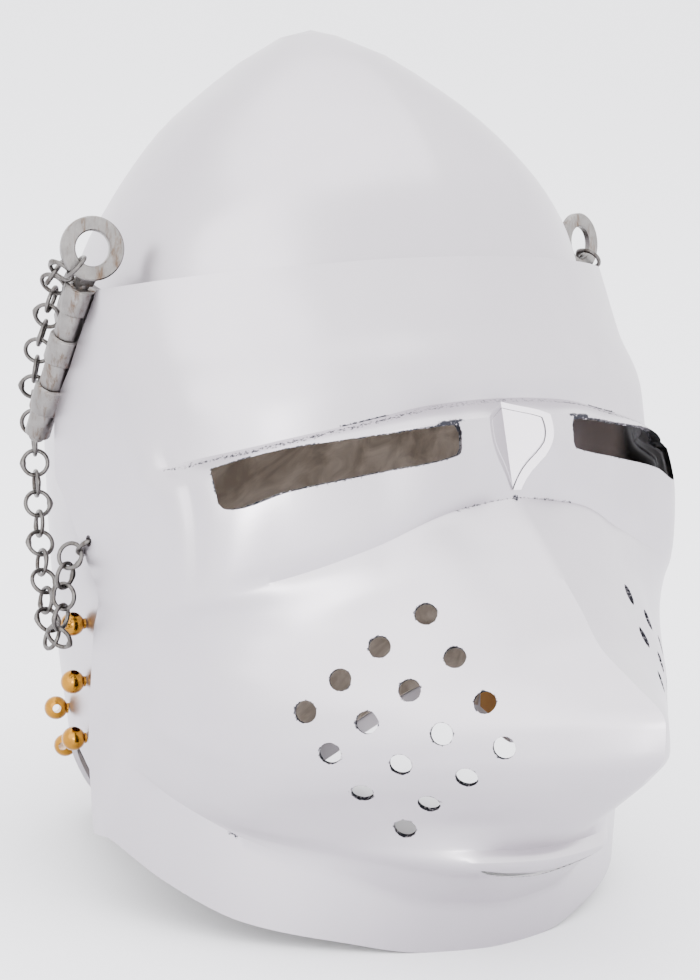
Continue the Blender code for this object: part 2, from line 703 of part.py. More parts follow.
def rear_plate_x():
    """Half width of the visor's outer face near its rear edge, at the chain hole."""
    y, z = CHAIN_HOLE_PLACE
    grid = visor_grid(2, 40).reshape(-1, 3)
    grid = grid[grid[:, 0] > 0]
    return float(grid[np.argmin((grid[:, 1] - y) ** 2 + (grid[:, 2] - z) ** 2), 0])


def chain_holes():
    """Cutters for the two small holes that the chains end in."""
    bm = bmesh.new()
    y, z = CHAIN_HOLE_PLACE
    x = rear_plate_x()
    for side in (1, -1):
        rod(bm, (side * (x - 0.006), y, z), (side * (x + 0.006), y, z), CHAIN_HOLE_RADIUS, 10)
    return new_object("chain_hole_cutter", mesh_from(bm, "chain_hole_cutter"))


# Hinges on the wearer's left; the right ones are mirrored

def hinge_frame():
    """Barrel's top centre, its direction downwards and its direction away to the rear."""
    down = Vector((0, math.sin(BARREL_LEAN), -math.cos(BARREL_LEAN)))
    rear = Vector((0, math.cos(BARREL_LEAN), math.sin(BARREL_LEAN)))
    plate_x = visor_half_width() * STATION_SHARES[-1]
    top = Vector((plate_x + BARREL_OFFSET, BARREL_TOP_BACK, BARREL_TOP_LEVEL))
    return top, down, rear


def knuckle(bm, start, end, radius, towards, length, thickness, jog):
    """One hinge knuckle: a round with its strap leaving on the inner side, run from start to end."""
    top, down, rear = hinge_frame()
    out = Vector((1, 0, 0))
    sides = 9
    outline = []
    sweep = math.radians(320)
    for k in range(sides):
        angle = math.pi + sweep * k / (sides - 1)
        outline.append((radius * math.cos(angle), radius * math.sin(angle)))
    outline += [(-radius + thickness - jog, length), (-radius - jog, length)]
    rings = []
    for distance in (start, end):
        centre = top + down * distance
        rings.append([bm.verts.new(centre + out * a + rear * (b * towards)) for a, b in outline])
    grid_faces(bm, rings, closed=True)
    bm.faces.new(rings[0])
    bm.faces.new(rings[1])


def knuckle_span(index):
    """Start and end of a knuckle along the barrel."""
    height = BARREL_LENGTH / KNUCKLES
    return index * height + KNUCKLE_GAP / 2, (index + 1) * height - KNUCKLE_GAP / 2


def knuckle_set(name, first, radius, towards, length, thickness, jog=0.0):
    """Every second knuckle as one cutter object, to be joined to its leaf."""
    bm = bmesh.new()
    for index in range(first, KNUCKLES, 2):
        start, end = knuckle_span(index)
        knuckle(bm, start, end, radius, towards, length, thickness, jog)
    return new_object(name, mesh_from(bm, name))


def build_visor_hinge(steel, bore, visor):
    """The visor's own hinge leaf, lying inside the plate, with knuckles 1, 3 and 5."""
    top, down, rear = hinge_frame()
    plate = BVHTree.FromObject(visor, bpy.context.evaluated_depsgraph_get())
    near = WIDE_KNUCKLE_RADIUS + LEAF_THICKNESS
    jogged = top.x - WIDE_KNUCKLE_RADIUS + LEAF_THICKNESS - LEAF_JOG
    bm = bmesh.new()
    faces = [[], []]
    for away in np.linspace(near, VISOR_LEAF_LENGTH, 4):
        rows = [[], []]
        for along in np.linspace(LEAF_THICKNESS, BARREL_LENGTH - LEAF_THICKNESS, 6):
            point = top + down * along - rear * away
            hit = plate.ray_cast(Vector((point.x * 0.7, point.y, point.z)), Vector((1, 0, 0)))[0]
            outer = min(jogged, hit.x - 3 * GAP) if hit else jogged
            for row, x in zip(rows, (outer, outer - LEAF_THICKNESS)):
                row.append(bm.verts.new((x, point.y, point.z)))
        faces[0].append(rows[0])
        faces[1].append(rows[1])
    for outer, inner in zip(*faces):
        outer += inner[::-1]
    grid_faces(bm, faces[0], closed=True)
    for ring in (faces[0][0], faces[0][-1]):
        count = len(ring) // 2
        for i in range(count - 1):
            bm.faces.new((ring[i], ring[i + 1], ring[-2 - i], ring[-1 - i]))
    leaf = new_object("visor_hinge_left", mesh_from(bm, "visor_hinge_left"), steel)
    tail = near + 0.001
    knuckles = knuckle_set("visor_knuckles", 0, WIDE_KNUCKLE_RADIUS, -1, tail, LEAF_THICKNESS, LEAF_JOG)
    add_cutter(leaf, knuckles, "UNION")
    add_cutter(leaf, bore)
    return leaf


def build_arm(steel, bore):
    """The side arm: knuckles 2, 4 and 6 and a strap joggled in to the pivot on the skull."""
    top, down, rear = hinge_frame()
    pivot = Vector((0, PIVOT_BACK, PIVOT_LEVEL))
    strap_x = top.x - NARROW_KNUCKLE_RADIUS
    near = NARROW_KNUCKLE_RADIUS + LEAF_THICKNESS
    pad_x = arm_pad_x()
    origin = Vector((0, top.y, top.z))
    away = (pivot - origin).dot(rear)
    along = (pivot - origin).dot(down)
    start = BARREL_LENGTH / KNUCKLES + KNUCKLE_GAP
    end = BARREL_LENGTH - KNUCKLE_GAP
    radius = ARM_END_RADIUS
    reach, above, below = ARM_STRAP_SECTION
    sections = [(near, start, end, strap_x),
                (near + (away + radius * reach - near) * ARM_JOGGLE,
                 max(start, along - radius * above), along + radius * below, strap_x)]
    for reach, above, below in ARM_SECTIONS:
        sections.append((away + radius * reach, along - radius * above, along + radius * below, pad_x))
    bm = bmesh.new()
    rings = []
    for reach, low, high, x in sections:
        ring = []
        for depth, span in ((0, low), (0, high), (ARM_THICKNESS, high), (ARM_THICKNESS, low)):
            point = origin + rear * reach + down * span
            ring.append(bm.verts.new((x + depth, point.y, point.z)))
        rings.append(ring)
    grid_faces(bm, rings, closed=True)
    bm.faces.new(rings[0])
    bm.faces.new(rings[-1])
    arm = new_object("side_arm_left", mesh_from(bm, "side_arm_left"), steel)
    tail = near + 0.001
    add_cutter(arm, knuckle_set("arm_knuckles", 1, NARROW_KNUCKLE_RADIUS, 1, tail, ARM_THICKNESS), "UNION")
    add_cutter(arm, bore)
    hole = bmesh.new()
    rod(hole, (pad_x - 0.01, PIVOT_BACK, PIVOT_LEVEL), (pad_x + 0.01, PIVOT_BACK, PIVOT_LEVEL),
        RIVET_RADIUS + GAP, 16)
    add_cutter(arm, new_object("arm_pivot_hole", mesh_from(hole, "arm_pivot_hole")))
    return arm


def arm_pad_x():
    """Inner face of the arm's pad: it clears the skull all round the pivot as it turns."""
    reach = ARM_END_RADIUS
    widest = max(skull_side(PIVOT_BACK + a * reach, PIVOT_LEVEL + b * reach)
                 for a, b in ((-1, 0), (1, 0), (0, -1), (0, 1), (-0.7, -0.7), (0.7, -0.7), (-0.7, 0.7)))
    return widest + ARM_STANDOFF


def build_rivet(steel):
    """The pivot rivet, peened into the skull."""
    bm = bmesh.new()
    outer = arm_pad_x() + ARM_THICKNESS + GAP
    inner = skull_side(PIVOT_BACK, PIVOT_LEVEL) - SKULL_WALL * 0.7
    profile = [(inner, RIVET_RADIUS), (outer, RIVET_RADIUS)]
    profile += [(outer + RIVET_HEAD_HEIGHT * out, RIVET_HEAD_RADIUS * share) for out, share in RIVET_SECTIONS]
    sides = 16
    angles = [2 * math.pi * k / sides for k in range(sides)]
    rings = [[bm.verts.new((x, PIVOT_BACK + r * math.cos(a), PIVOT_LEVEL + r * math.sin(a))) for a in angles]
             for x, r in profile]
    grid_faces(bm, rings, closed=True)
    bm.faces.new(rings[0])
    bm.faces.new(rings[-1])
    return new_object("pivot_rivet_left", mesh_from(bm, "pivot_rivet_left"), steel)


def ring_centre():
    """Centre of the pin's ring, in line with the pin."""
    top, down, rear = hinge_frame()
    return top - down * RING_RISE


def ring_axes():
    """Outward and forward directions of the washer ring's plane."""
    out = Vector((math.cos(RING_TURN), math.sin(RING_TURN), 0))
    front = Vector((math.sin(RING_TURN), -math.cos(RING_TURN), 0))
    return out, front


def build_pin(steel):
    """The hinge pin: a rod with a flat washer ring welded on as its head."""
    top, down, rear = hinge_frame()
    out, front = ring_axes()
    centre = ring_centre()
    up = Vector((0, 0, 1))
    bm = bmesh.new()
    sides = 16
    rings = []
    for radius, depth in ((RING_RADIUS, 1), (RING_HOLE_RADIUS, 1), (RING_HOLE_RADIUS, -1), (RING_RADIUS, -1)):
        ring = []
        for k in range(sides):
            angle = 2 * math.pi * (k + 0.5) / sides
            spoke = out * math.cos(angle) + up * math.sin(angle)
            ring.append(bm.verts.new(centre + spoke * radius + front * (depth * RING_THICKNESS / 2)))
        rings.append(ring)
    grid_faces(bm, rings + [rings[0]], closed=True)
    pin = new_object("hinge_pin_left", mesh_from(bm, "hinge_pin_left"), steel)
    shaft = bmesh.new()
    rod(shaft, top - down * PIN_TOP, top + down * (BARREL_LENGTH + PIN_END), PIN_RADIUS, 10)
    add_cutter(pin, new_object("pin_shaft", mesh_from(shaft, "pin_shaft")), "UNION")
    lug = bmesh.new()
    ends = []
    foot = top - down * (GAP + LUG_LIFT)
    seat = centre - up * (RING_HOLE_RADIUS + LUG_SEAT)
    for middle, width, depth, ahead in ((foot, LUG_FOOT_WIDTH, LUG_DEPTH, rear),
                                        (seat, LUG_WIDTH, RING_THICKNESS * 0.9, -front)):
        ends.append([lug.verts.new(middle + out * (a * width / 2) + ahead * (b * depth / 2))
                     for a, b in ((-1, -1), (1, -1), (1, 1), (-1, 1))])
    grid_faces(lug, ends, closed=True)
    lug.faces.new(ends[0])
    lug.faces.new(ends[1])
    add_cutter(pin, new_object("pin_lug", mesh_from(lug, "pin_lug")), "UNION")
    return pin


def pin_bore():
    """Cutter for the bore through all knuckles."""
    top, down, rear = hinge_frame()
    bm = bmesh.new()
    rod(bm, top - down * 0.01, top + down * (BARREL_LENGTH + 0.01), PIN_RADIUS + GAP, 10)
    return new_object("pin_bore", mesh_from(bm, "pin_bore"))


# Chains

def chain_ends():
    """Where a chain leaves the back of the pin's ring, and where it meets the visor's hole."""
    out, front = ring_axes()
    rim = (RING_RADIUS + RING_HOLE_RADIUS) / 2
    lower_outer = (out - Vector((0, 0, 1))).normalized()
    start = ring_centre() + lower_outer * rim - front * (RING_THICKNESS / 2 + GAP)
    y, z = CHAIN_HOLE_PLACE
    end = Vector((rear_plate_x() + GAP, y, z))
    return start, end


def build_chain(steel, name, side):
    """The stretch that a pin chain hangs along, as a plain tube."""
    start, end = chain_ends()
    away = -ring_axes()[1] * CHAIN_TUBE_RADIUS
    sideways = Vector((CHAIN_TUBE_RADIUS, 0, 0))
    points = [start, start + away] + [Vector(p) for p in CHAIN_ROUTE] + [end + sideways, end]
    curve = bpy.data.curves.new(name, 'CURVE')
    curve.dimensions = '3D'
    curve.bevel_depth = CHAIN_TUBE_RADIUS
    curve.bevel_resolution = 2
    curve.use_fill_caps = True
    line = curve.splines.new('POLY')
    line.points.add(len(points) - 1)
    for knot, point in zip(line.points, points):
        knot.co = (point.x * side, point.y, point.z, 1)
    curve.materials.append(steel)
    chain = bpy.data.objects.new(name, curve)
    bpy.context.collection.objects.link(chain)
    return chain


# Vervelles

def vervelle_places():
    """Place, outward direction and hole direction of each vervelle: cheek studs, then the nape's row."""
    places = []
    outline = opening_outline(VERVELLE_EDGE_MARGIN)
    edge = sorted((z, y) for y, z in outline if y > -0.05 and z < 0.04)
    for k in range(CHEEK_VERVELLES):
        z = VERVELLE_LEVEL * SKULL_DROP + VERVELLE_SPACING * k
        y = float(np.interp(z, [e[0] for e in edge], [e[1] for e in edge]))
        for side in (1, -1):
            x = skull_side(y, z)
            slope = (skull_side(y + 0.004, z) - skull_side(y - 0.004, z)) / 0.008
            out = Vector((1, -slope, 0)).normalized()
            places.append((Vector((side * x, y, z)), Vector((side * out.x, out.y, 0)), Vector((0, 0, 1))))
    for k in range(NAPE_VERVELLES):
        turn = math.pi + NAPE_STEP * (k - (NAPE_VERVELLES - 1) / 2)
        depth = edge_depth(turn)
        level = -(1 - VERVELLE_EDGE_MARGIN / depth)
        point = skull_surface(turn, level)
        out = skull_normal(turn, level)
        places.append((point, out, Vector((0, 0, 1)).cross(out).normalized()))
    return places


def build_vervelle(name, place, brass):
    """A round stud on a short shank, drilled across for the lace."""
    point, out, across = place
    bm = bmesh.new()
    centre = point + out * (GAP + VERVELLE_SHANK_LENGTH + VERVELLE_RADIUS - VERVELLE_SINK)
    bmesh.ops.create_uvsphere(bm, u_segments=8, v_segments=5, radius=VERVELLE_RADIUS,
                              matrix=Matrix.Translation(centre) @ out.to_track_quat('Z', 'X').to_matrix().to_4x4())
    stud = new_object(name, mesh_from(bm, name), brass, 60)
    shank = bmesh.new()
    rod(shank, point + out * GAP, centre, VERVELLE_SHANK_RADIUS, 6)
    add_cutter(stud, new_object(name + "_shank", mesh_from(shank, name + "_shank")), "UNION")
    hole = bmesh.new()
    reach = across * VERVELLE_RADIUS * 1.6
    rod(hole, centre - reach, centre + reach, VERVELLE_HOLE_RADIUS, 6)
    add_cutter(stud, new_object(name + "_hole", mesh_from(hole, name + "_hole")))
    return stud


# Skull, lining and leather

def outline_cutter(name, grow):
    """The face opening's prism, across the whole helmet."""
    bm = bmesh.new()
    prism(bm, opening_outline(grow), -1.6 * SKULL_HALF_WIDTH, 1.6 * SKULL_HALF_WIDTH)
    return new_object(name, mesh_from(bm, name))


def build_skull(steel):
    """The skull: a keeled dome, open at the face and below."""
    skull = new_object("skull", skull_sheet("skull", 0.0), steel, 40)
    add_wall(skull, SKULL_WALL)
    add_cutter(skull, outline_cutter("face_opening", 0.0))
    holes = bmesh.new()
    for side in (1, -1):
        rod(holes, (side * (SKULL_HALF_WIDTH * 0.8), PIVOT_BACK, PIVOT_LEVEL),
            (side * (SKULL_HALF_WIDTH * 1.2), PIVOT_BACK, PIVOT_LEVEL), RIVET_RADIUS + GAP, 16)
    add_cutter(skull, new_object("skull_pivot_holes", mesh_from(holes, "skull_pivot_holes")))
    return skull


def build_liner(cloth):
    """The quilted cloth lining."""
    sheet = skull_sheet("liner", SKULL_WALL + GAP * 3, LINER_HEM, 2)
    liner = new_object("liner", sheet, cloth, 60)
    add_wall(liner, LINER_THICKNESS)
    add_cutter(liner, outline_cutter("liner_opening", LEATHER_SETBACK + LEATHER_WIDTH + GAP))
    return liner


def build_leather(leather):
    """The leather strip that binds the lining along the face opening."""
    sheet = skull_sheet("liner_edge", SKULL_WALL + GAP * 3, LINER_HEM, 2)
    strip = new_object("liner_edge", sheet, leather, 60)
    add_wall(strip, LEATHER_THICKNESS)
    add_cutter(strip, outline_cutter("leather_front", LEATHER_SETBACK))
    add_cutter(strip, outline_cutter("leather_back", LEATHER_SETBACK + LEATHER_WIDTH), "INTERSECT")
    return strip


# Placing

def evaluated_points(target):
    """Vertices of an object with its modifiers, in its own frame."""
    graph = bpy.context.evaluated_depsgraph_get()
    shape = target.evaluated_get(graph)
    mesh = shape.to_mesh()
    points = np.empty(len(mesh.vertices) * 3)
    mesh.vertices.foreach_get("co", points)
    shape.to_mesh_clear()
    return points.reshape(-1, 3)


def resting_lean(front, back):
    """Lean that brings the lowest points of the helmet's front and back pieces to one level."""
    low, high = 0.0, math.radians(45)
    for _ in range(50):
        lean = (low + high) / 2
        heights = [min(p[:, 2] * math.cos(lean) - p[:, 1] * math.sin(lean)) for p in (front, back)]
        if heights[0] < heights[1]:
            low = lean
        else:
            high = lean
    return lean


def main():
    for item in list(bpy.data.objects):
        bpy.data.objects.remove(item)
    steel = new_material("satin_steel", (0.62, 0.61, 0.63), 0.28, 1.0)
    worn = new_material("worn_steel", (0.38, 0.37, 0.37), 0.42, 1.0)
    dark = new_material("oiled_steel", (0.16, 0.155, 0.15), 0.38, 1.0)
    brass = new_material("brass", (0.78, 0.52, 0.18), 0.25, 1.0)
    cloth = new_material("lining_cloth", (0.30, 0.27, 0.24), 0.9, 0.0)
    leather = new_material("edge_leather", (0.50, 0.33, 0.16), 0.6, 0.0)

    skull = build_skull(steel)
    liner = build_liner(cloth)
    strip = build_leather(leather)
    visor = build_visor(steel)
    bore = pin_bore()
    hinge = build_visor_hinge(worn, bore, visor)
    arm = build_arm(worn, bore)
    pin = build_pin(worn)
    chains = [build_chain(dark, "pin_chain_left", 1), build_chain(dark, "pin_chain_right", -1)]
    rivet = build_rivet(worn)
    studs = []
    for k, place in enumerate(vervelle_places()):
        group = "cheek_vervelle" if k < 2 * CHEEK_VERVELLES else "nape_vervelle"
        number = k + 1 if k < 2 * CHEEK_VERVELLES else k + 1 - 2 * CHEEK_VERVELLES
        studs.append(build_vervelle("%s_%d" % (group, number), place, brass))

    frame = bpy.data.objects.new("helmet_frame", None)
    lift = bpy.data.objects.new("visor_pivot", None)
    for empty in (frame, lift):
        bpy.context.collection.objects.link(empty)
    lift.parent = frame
    lift.location = (0, PIVOT_BACK, PIVOT_LEVEL)

    def carry(target, parent):
        """Parent a piece, keeping its mesh in the helmet's own frame."""
        target.parent = parent
        target.location = (0, -PIVOT_BACK, -PIVOT_LEVEL) if parent is lift else (0, 0, 0)

    def pair(target, parent):
        """Place a left piece and its mirrored right one."""
        graph = bpy.context.evaluated_depsgraph_get()
        shape = bpy.data.meshes.new_from_object(target.evaluated_get(graph))
        name = target.name.replace("_left", "_right")
        other = bpy.data.objects.new(name, mirrored(shape, name))
        bpy.context.collection.objects.link(other)
        carry(target, parent)
        carry(other, parent)

    cutters = [item for item in bpy.data.objects if item.type == 'MESH' and item.hide_render]
    for item in cutters:
        carry(item, frame)
    for item in [skull, liner, strip] + studs:
        carry(item, frame)
    carry(visor, lift)
    for item in chains:
        carry(item, lift)
    for item in (hinge, arm, pin):
        pair(item, lift)
    pair(rivet, frame)

    lean = resting_lean(evaluated_points(visor), evaluated_points(skull))
    turn = Matrix.Rotation(-lean, 3, 'X')
    solids = [item for item in bpy.data.objects if item.type == 'MESH' and not item.hide_render]
    cloud = np.concatenate([evaluated_points(item) for item in solids]) @ np.array(turn).T
    low, high = cloud.min(axis=0), cloud.max(axis=0)
    frame.rotation_euler = (-lean, 0, 0)
    frame.location = (0, -(low[1] + high[1]) / 2, -low[2])
    bpy.context.view_layer.update()


main()
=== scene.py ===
"""The looks of the pig-faced bascinet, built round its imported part.

Every piece is modelled in the helmet's own upright frame, with the eye line at the origin, +X to the wearer's
left and -Y to the front. It is then leaned back as the helmet stands, on the visor's lower edge and the nape.
"""

import math

import bmesh
import bpy
import numpy as np
from mathutils import Matrix, Vector, noise


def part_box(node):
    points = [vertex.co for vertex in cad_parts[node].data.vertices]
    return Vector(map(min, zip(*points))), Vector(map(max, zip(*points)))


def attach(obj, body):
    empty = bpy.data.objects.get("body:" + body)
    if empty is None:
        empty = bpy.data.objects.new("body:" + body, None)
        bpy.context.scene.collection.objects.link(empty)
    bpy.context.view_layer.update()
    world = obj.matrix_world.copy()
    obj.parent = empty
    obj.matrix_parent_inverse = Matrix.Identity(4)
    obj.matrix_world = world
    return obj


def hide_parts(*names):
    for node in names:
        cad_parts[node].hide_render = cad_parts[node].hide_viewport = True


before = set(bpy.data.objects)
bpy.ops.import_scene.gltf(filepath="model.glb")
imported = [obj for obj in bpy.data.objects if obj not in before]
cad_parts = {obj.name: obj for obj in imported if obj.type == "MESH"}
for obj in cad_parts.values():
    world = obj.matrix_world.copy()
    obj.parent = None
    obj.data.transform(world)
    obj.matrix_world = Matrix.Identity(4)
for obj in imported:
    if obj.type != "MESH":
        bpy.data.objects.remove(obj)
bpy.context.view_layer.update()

# Skull
# One plate of 1.8 mm mild steel, raised to a point with a low keel down its front, ground and polished to a
# satin sheen. It is open at the face and below, and carries every fitting.
SKULL_HALF_WIDTH = 0.095
SKULL_FRONT = 0.082
SKULL_BACK = 0.128
SKULL_HEIGHT = 0.1655
SKULL_DROP = 0.113
SKULL_WALL = 0.0018
KEEL_RISE = 0.0020
KEEL_WIDTH = 0.022
BROW_LEVEL = 0.042
OPENING_BACK = 0.014
OPENING_CORNER_HEIGHT = 0.036
OPENING_CORNER_REACH = 0.0216
OPENING_CORNER_AHEAD = 0.012
APEX_BACK = 0.045
PIVOT_BACK = 0.027
PIVOT_LEVEL = 0.066
RIVET_RADIUS = 0.003
GAP = 0.0003
CUTTER_REACH = 1.6
SKULL_SEGMENTS = 112
SKULL_ROWS = 76
HELMET_LEAN = math.radians(12.4172)
HELMET_PLACE = (0, 0.027717, 0.135311)
STAND = Matrix.Translation(HELMET_PLACE) @ Matrix.Rotation(-HELMET_LEAN, 4, 'X')

# level: share of SKULL_HEIGHT above the eye line, of SKULL_DROP below it. front, half: shares of SKULL_FRONT
# and SKULL_HALF_WIDTH. widest, back: shares of SKULL_BACK. square: exponent of the section's front half.
SKULL_COLUMNS = ("level", "front", "half", "widest", "back", "square")
SKULL_SECTIONS = (
    (-1.00, 0.915, 0.950, 0.045, 0.905, 2.20),
    (-0.75, 0.950, 0.975, 0.045, 0.925, 2.20),
    (-0.44, 0.976, 0.995, 0.045, 0.965, 2.20),
    (-0.09, 1.000, 1.000, 0.045, 0.990, 2.20),
    (0.13, 1.000, 1.000, 0.035, 1.000, 2.25),
    (0.30, 0.978, 0.990, 0.020, 0.890, 2.25),
    (0.44, 0.932, 0.975, 0.000, 0.765, 2.25),
    (0.545, 0.885, 0.925, -0.030, 0.705, 2.20),
    (0.63, 0.832, 0.842, -0.038, 0.635, 2.15),
    (0.715, 0.722, 0.735, -0.030, 0.560, 2.10),
    (0.80, 0.582, 0.598, -0.008, 0.472, 2.05),
    (0.88, 0.415, 0.412, 0.008, 0.372, 2.00),
    (0.943, 0.232, 0.248, 0.025, 0.268, 2.00),
    (0.980, 0.048, 0.128, 0.040, 0.170, 2.00),
)
# Lower edge. turn: degrees round from the front. depth: share of SKULL_DROP.
EDGE_COLUMNS = ("turn", "depth")
EDGE_SECTIONS = (
    (0, 0.910),
    (95, 0.910),
    (116, 0.745),
    (129, 0.830),
    (154, 1.021),
    (167, 1.006),
    (180, 1.000),
)
# Rear edge of the face opening. down: share of SKULL_DROP. away: metres behind OPENING_BACK.
OPENING_SECTIONS = (
    (0.372, 0.000),
    (0.690, 0.007),
    (1.300, 0.008),
)


def column(table, names, name):
    """One named column of a table, as an array."""
    return np.array([row[names.index(name)] for row in table], dtype=float)


def smooth_curve(x, y, at, start=None, fold=None):
    """Value at each place of a curve through the points that never overshoots them.

    start scales the first slope. fold, one value a point, creases the curve there: 0 smooth, 1 sharp.
    """
    x, y, at = np.asarray(x, float), np.asarray(y, float), np.asarray(at, float)
    h = np.diff(x)
    d = np.diff(y) / h
    m = np.zeros(len(x))
    for i in range(1, len(x) - 1):
        if d[i - 1] * d[i] > 0:
            a, b = 2 * h[i] + h[i - 1], h[i] + 2 * h[i - 1]
            m[i] = (a + b) / (a / d[i - 1] + b / d[i])
    m[0] = d[0] if start is None else start * d[0]
    m[-1] = d[-1]
    leaving, arriving = m[:-1].copy(), m[1:].copy()
    if fold is not None:
        leaving += fold[:-1] * (d - leaving)
        arriving += fold[1:] * (d - arriving)
    i = np.clip(np.searchsorted(x, at, side="right") - 1, 0, len(x) - 2)
    t = (at - x[i]) / h[i]
    return ((1 + 2 * t) * (1 - t) ** 2 * y[i] + t * (1 - t) ** 2 * h[i] * leaving[i]
            + t * t * (3 - 2 * t) * y[i + 1] + t * t * (t - 1) * h[i] * arriving[i])


def skull_point(turn, height):
    """A point of the skull's outer face; turn runs round from the front, towards the wearer's left."""
    level = height / (SKULL_HEIGHT if height > 0 else SKULL_DROP)
    levels = column(SKULL_SECTIONS, SKULL_COLUMNS, "level")
    front, half, widest, back, square = (
        float(smooth_curve(levels, column(SKULL_SECTIONS, SKULL_COLUMNS, name), [level])[0]) * scale
        for name, scale in (("front", SKULL_FRONT), ("half", SKULL_HALF_WIDTH), ("widest", SKULL_BACK),
                            ("back", SKULL_BACK), ("square", 1)))
    along, across = math.cos(turn), math.sin(turn)
    power = 2 / square if along > 0 else 1
    x = half * math.copysign(abs(across) ** power, across)
    if along > 0:
        keel = KEEL_RISE * min(1, front / SKULL_FRONT)
        y = widest - (widest + front - keel) * along ** power
        y -= keel * max(0, 1 - abs(x) / KEEL_WIDTH) ** 1.5
    else:
        y = widest - (back - widest) * along
    return Vector((x, y, height))


def edge_depth(turn):
    """Depth of the skull's lower edge below the eye line: it arches up over the shoulders."""
    away = math.degrees(abs(math.atan2(math.sin(turn), math.cos(turn))))
    turns = column(EDGE_SECTIONS, EDGE_COLUMNS, "turn")
    return SKULL_DROP * float(smooth_curve(turns, column(EDGE_SECTIONS, EDGE_COLUMNS, "depth"), [away])[0])


def skull_surface(turn, level):
    """A point of the skull: level is 1 at the apex and -1 at the lower edge."""
    return skull_point(turn, level * (SKULL_HEIGHT if level > 0 else edge_depth(turn)))


def skull_side(back, height):
    """Half width of the skull at a place behind the eye line."""
    low, high = 0.2, math.pi - 0.2
    for _ in range(30):
        middle = (low + high) / 2
        if skull_point(middle, height).y < back:
            low = middle
        else:
            high = middle
    return skull_point(low, height).x


def grid_faces(bm, rows, closed=False):
    """Faces between neighbouring rows of vertices; closed joins each row's last vertex to its first."""
    for upper, lower in zip(rows, rows[1:]):
        count = len(upper)
        for i in range(count if closed else count - 1):
            k = (i + 1) % count
            bm.faces.new((upper[i], lower[i], lower[k], upper[k]))


def rod(bm, start, end, radius, sides):
    """A closed round bar between two points."""
    start, end = Vector(start), Vector(end)
    turn = (end - start).to_track_quat('Z', 'X').to_matrix().to_4x4()
    bmesh.ops.create_cone(bm, cap_ends=True, segments=sides, radius1=radius, radius2=radius,
                          depth=(end - start).length, matrix=Matrix.Translation((start + end) / 2) @ turn)


def new_object(name, bm):
    """Link an object made from the bmesh, with its faces pointing out."""
    bmesh.ops.recalc_face_normals(bm, faces=bm.faces)
    mesh = bpy.data.meshes.new(name)
    bm.to_mesh(mesh)
    bm.free()
    made = bpy.data.objects.new(name, mesh)
    bpy.context.scene.collection.objects.link(made)
    return made


def cut(target, cutter, operation='DIFFERENCE'):
    """Cut the target with the cutter, or keep what they share, or join them, and throw the cutter away."""
    change = target.modifiers.new("cut", 'BOOLEAN')
    change.operation = operation
    change.solver = 'EXACT'
    change.object = cutter
    settle(target)
    bpy.data.objects.remove(cutter)


def settle(target):
    """Make the result of an object's modifiers its own mesh."""
    graph = bpy.context.evaluated_depsgraph_get()
    made = bpy.data.meshes.new_from_object(target.evaluated_get(graph))
    target.modifiers.clear()
    target.data = made


def add_wall(target, thickness):
    """Give a sheet its wall, inwards from the modelled outer face."""
    wall = target.modifiers.new("wall", 'SOLIDIFY')
    wall.thickness = thickness
    wall.offset = -1
    wall.use_even_offset = True
    settle(target)


def prism(bm, outline, way):
    """A closed prism: the outline's face extruded along a vector."""
    face = bm.faces.new([bm.verts.new(point) for point in outline])
    made = bmesh.ops.extrude_face_region(bm, geom=[face], use_keep_orig=True)
    moved = [item for item in made["geom"] if isinstance(item, bmesh.types.BMVert)]
    bmesh.ops.translate(bm, vec=way, verts=moved)


def opening_cutter(grow):
    """The face opening's prism across the whole helmet; grow moves its edge back."""
    front = -SKULL_FRONT * CUTTER_REACH
    rear = [(OPENING_BACK + grow + away, -down * SKULL_DROP) for down, away in OPENING_SECTIONS]
    centre = (-OPENING_CORNER_AHEAD, BROW_LEVEL - OPENING_CORNER_HEIGHT)
    arc = []
    for k in range(17):
        angle = math.radians(90 * k / 16)
        arc.append((centre[0] + (OPENING_CORNER_REACH + grow) * math.sin(angle),
                    centre[1] + (OPENING_CORNER_HEIGHT + grow) * math.cos(angle)))
    outline = [(front, rear[-1][1]), (front, BROW_LEVEL + grow)] + arc + rear
    bm = bmesh.new()
    reach = SKULL_HALF_WIDTH * CUTTER_REACH
    prism(bm, [(-reach, y, z) for y, z in outline], (reach * 2, 0, 0))
    return new_object("opening", bm)


def skull_levels(rows, top=0.985):
    """Levels of the skull's rows, closer together towards the point."""
    return [top - (top + 1) * (k / (rows - 1)) ** 0.85 for k in range(rows)]


def skull_sheet(name, inset, hem, segments, rows, thickness=0.0, pattern=None):
    """The skull's face as a sheet, moved in by the inset.

    hem shortens it below, and pattern pushes it further in from place to place.
    """
    bm = bmesh.new()
    grid = []
    for level in skull_levels(rows):
        place = level * (1 - hem / SKULL_DROP) if level < 0 else level
        grid.append([bm.verts.new(skull_surface(2 * math.pi * i / segments, place)) for i in range(segments)])
    grid_faces(bm, grid, closed=True)
    apex = bm.verts.new((0, APEX_BACK * SKULL_BACK, SKULL_HEIGHT))
    for i in range(segments):
        bm.faces.new((apex, grid[0][i], grid[0][(i + 1) % segments]))
    bmesh.ops.recalc_face_normals(bm, faces=bm.faces)
    bm.normal_update()
    shift = {}
    for j, row in enumerate(grid):
        for i, vertex in enumerate(row):
            extra = pattern(2 * math.pi * i / segments, vertex.co) if pattern else 0.0
            shift[vertex] = vertex.normal * (inset + extra)
    shift[apex] = Vector((0, 0, inset))
    for vertex, move in shift.items():
        vertex.co -= move
    sheet = new_object(name, bm)
    if thickness:
        add_wall(sheet, thickness)
    return sheet


def shade(target, angle):
    """Shade an object smooth up to the angle."""
    target.data.shade_smooth()
    target.data.set_sharp_from_angle(angle=math.radians(angle))


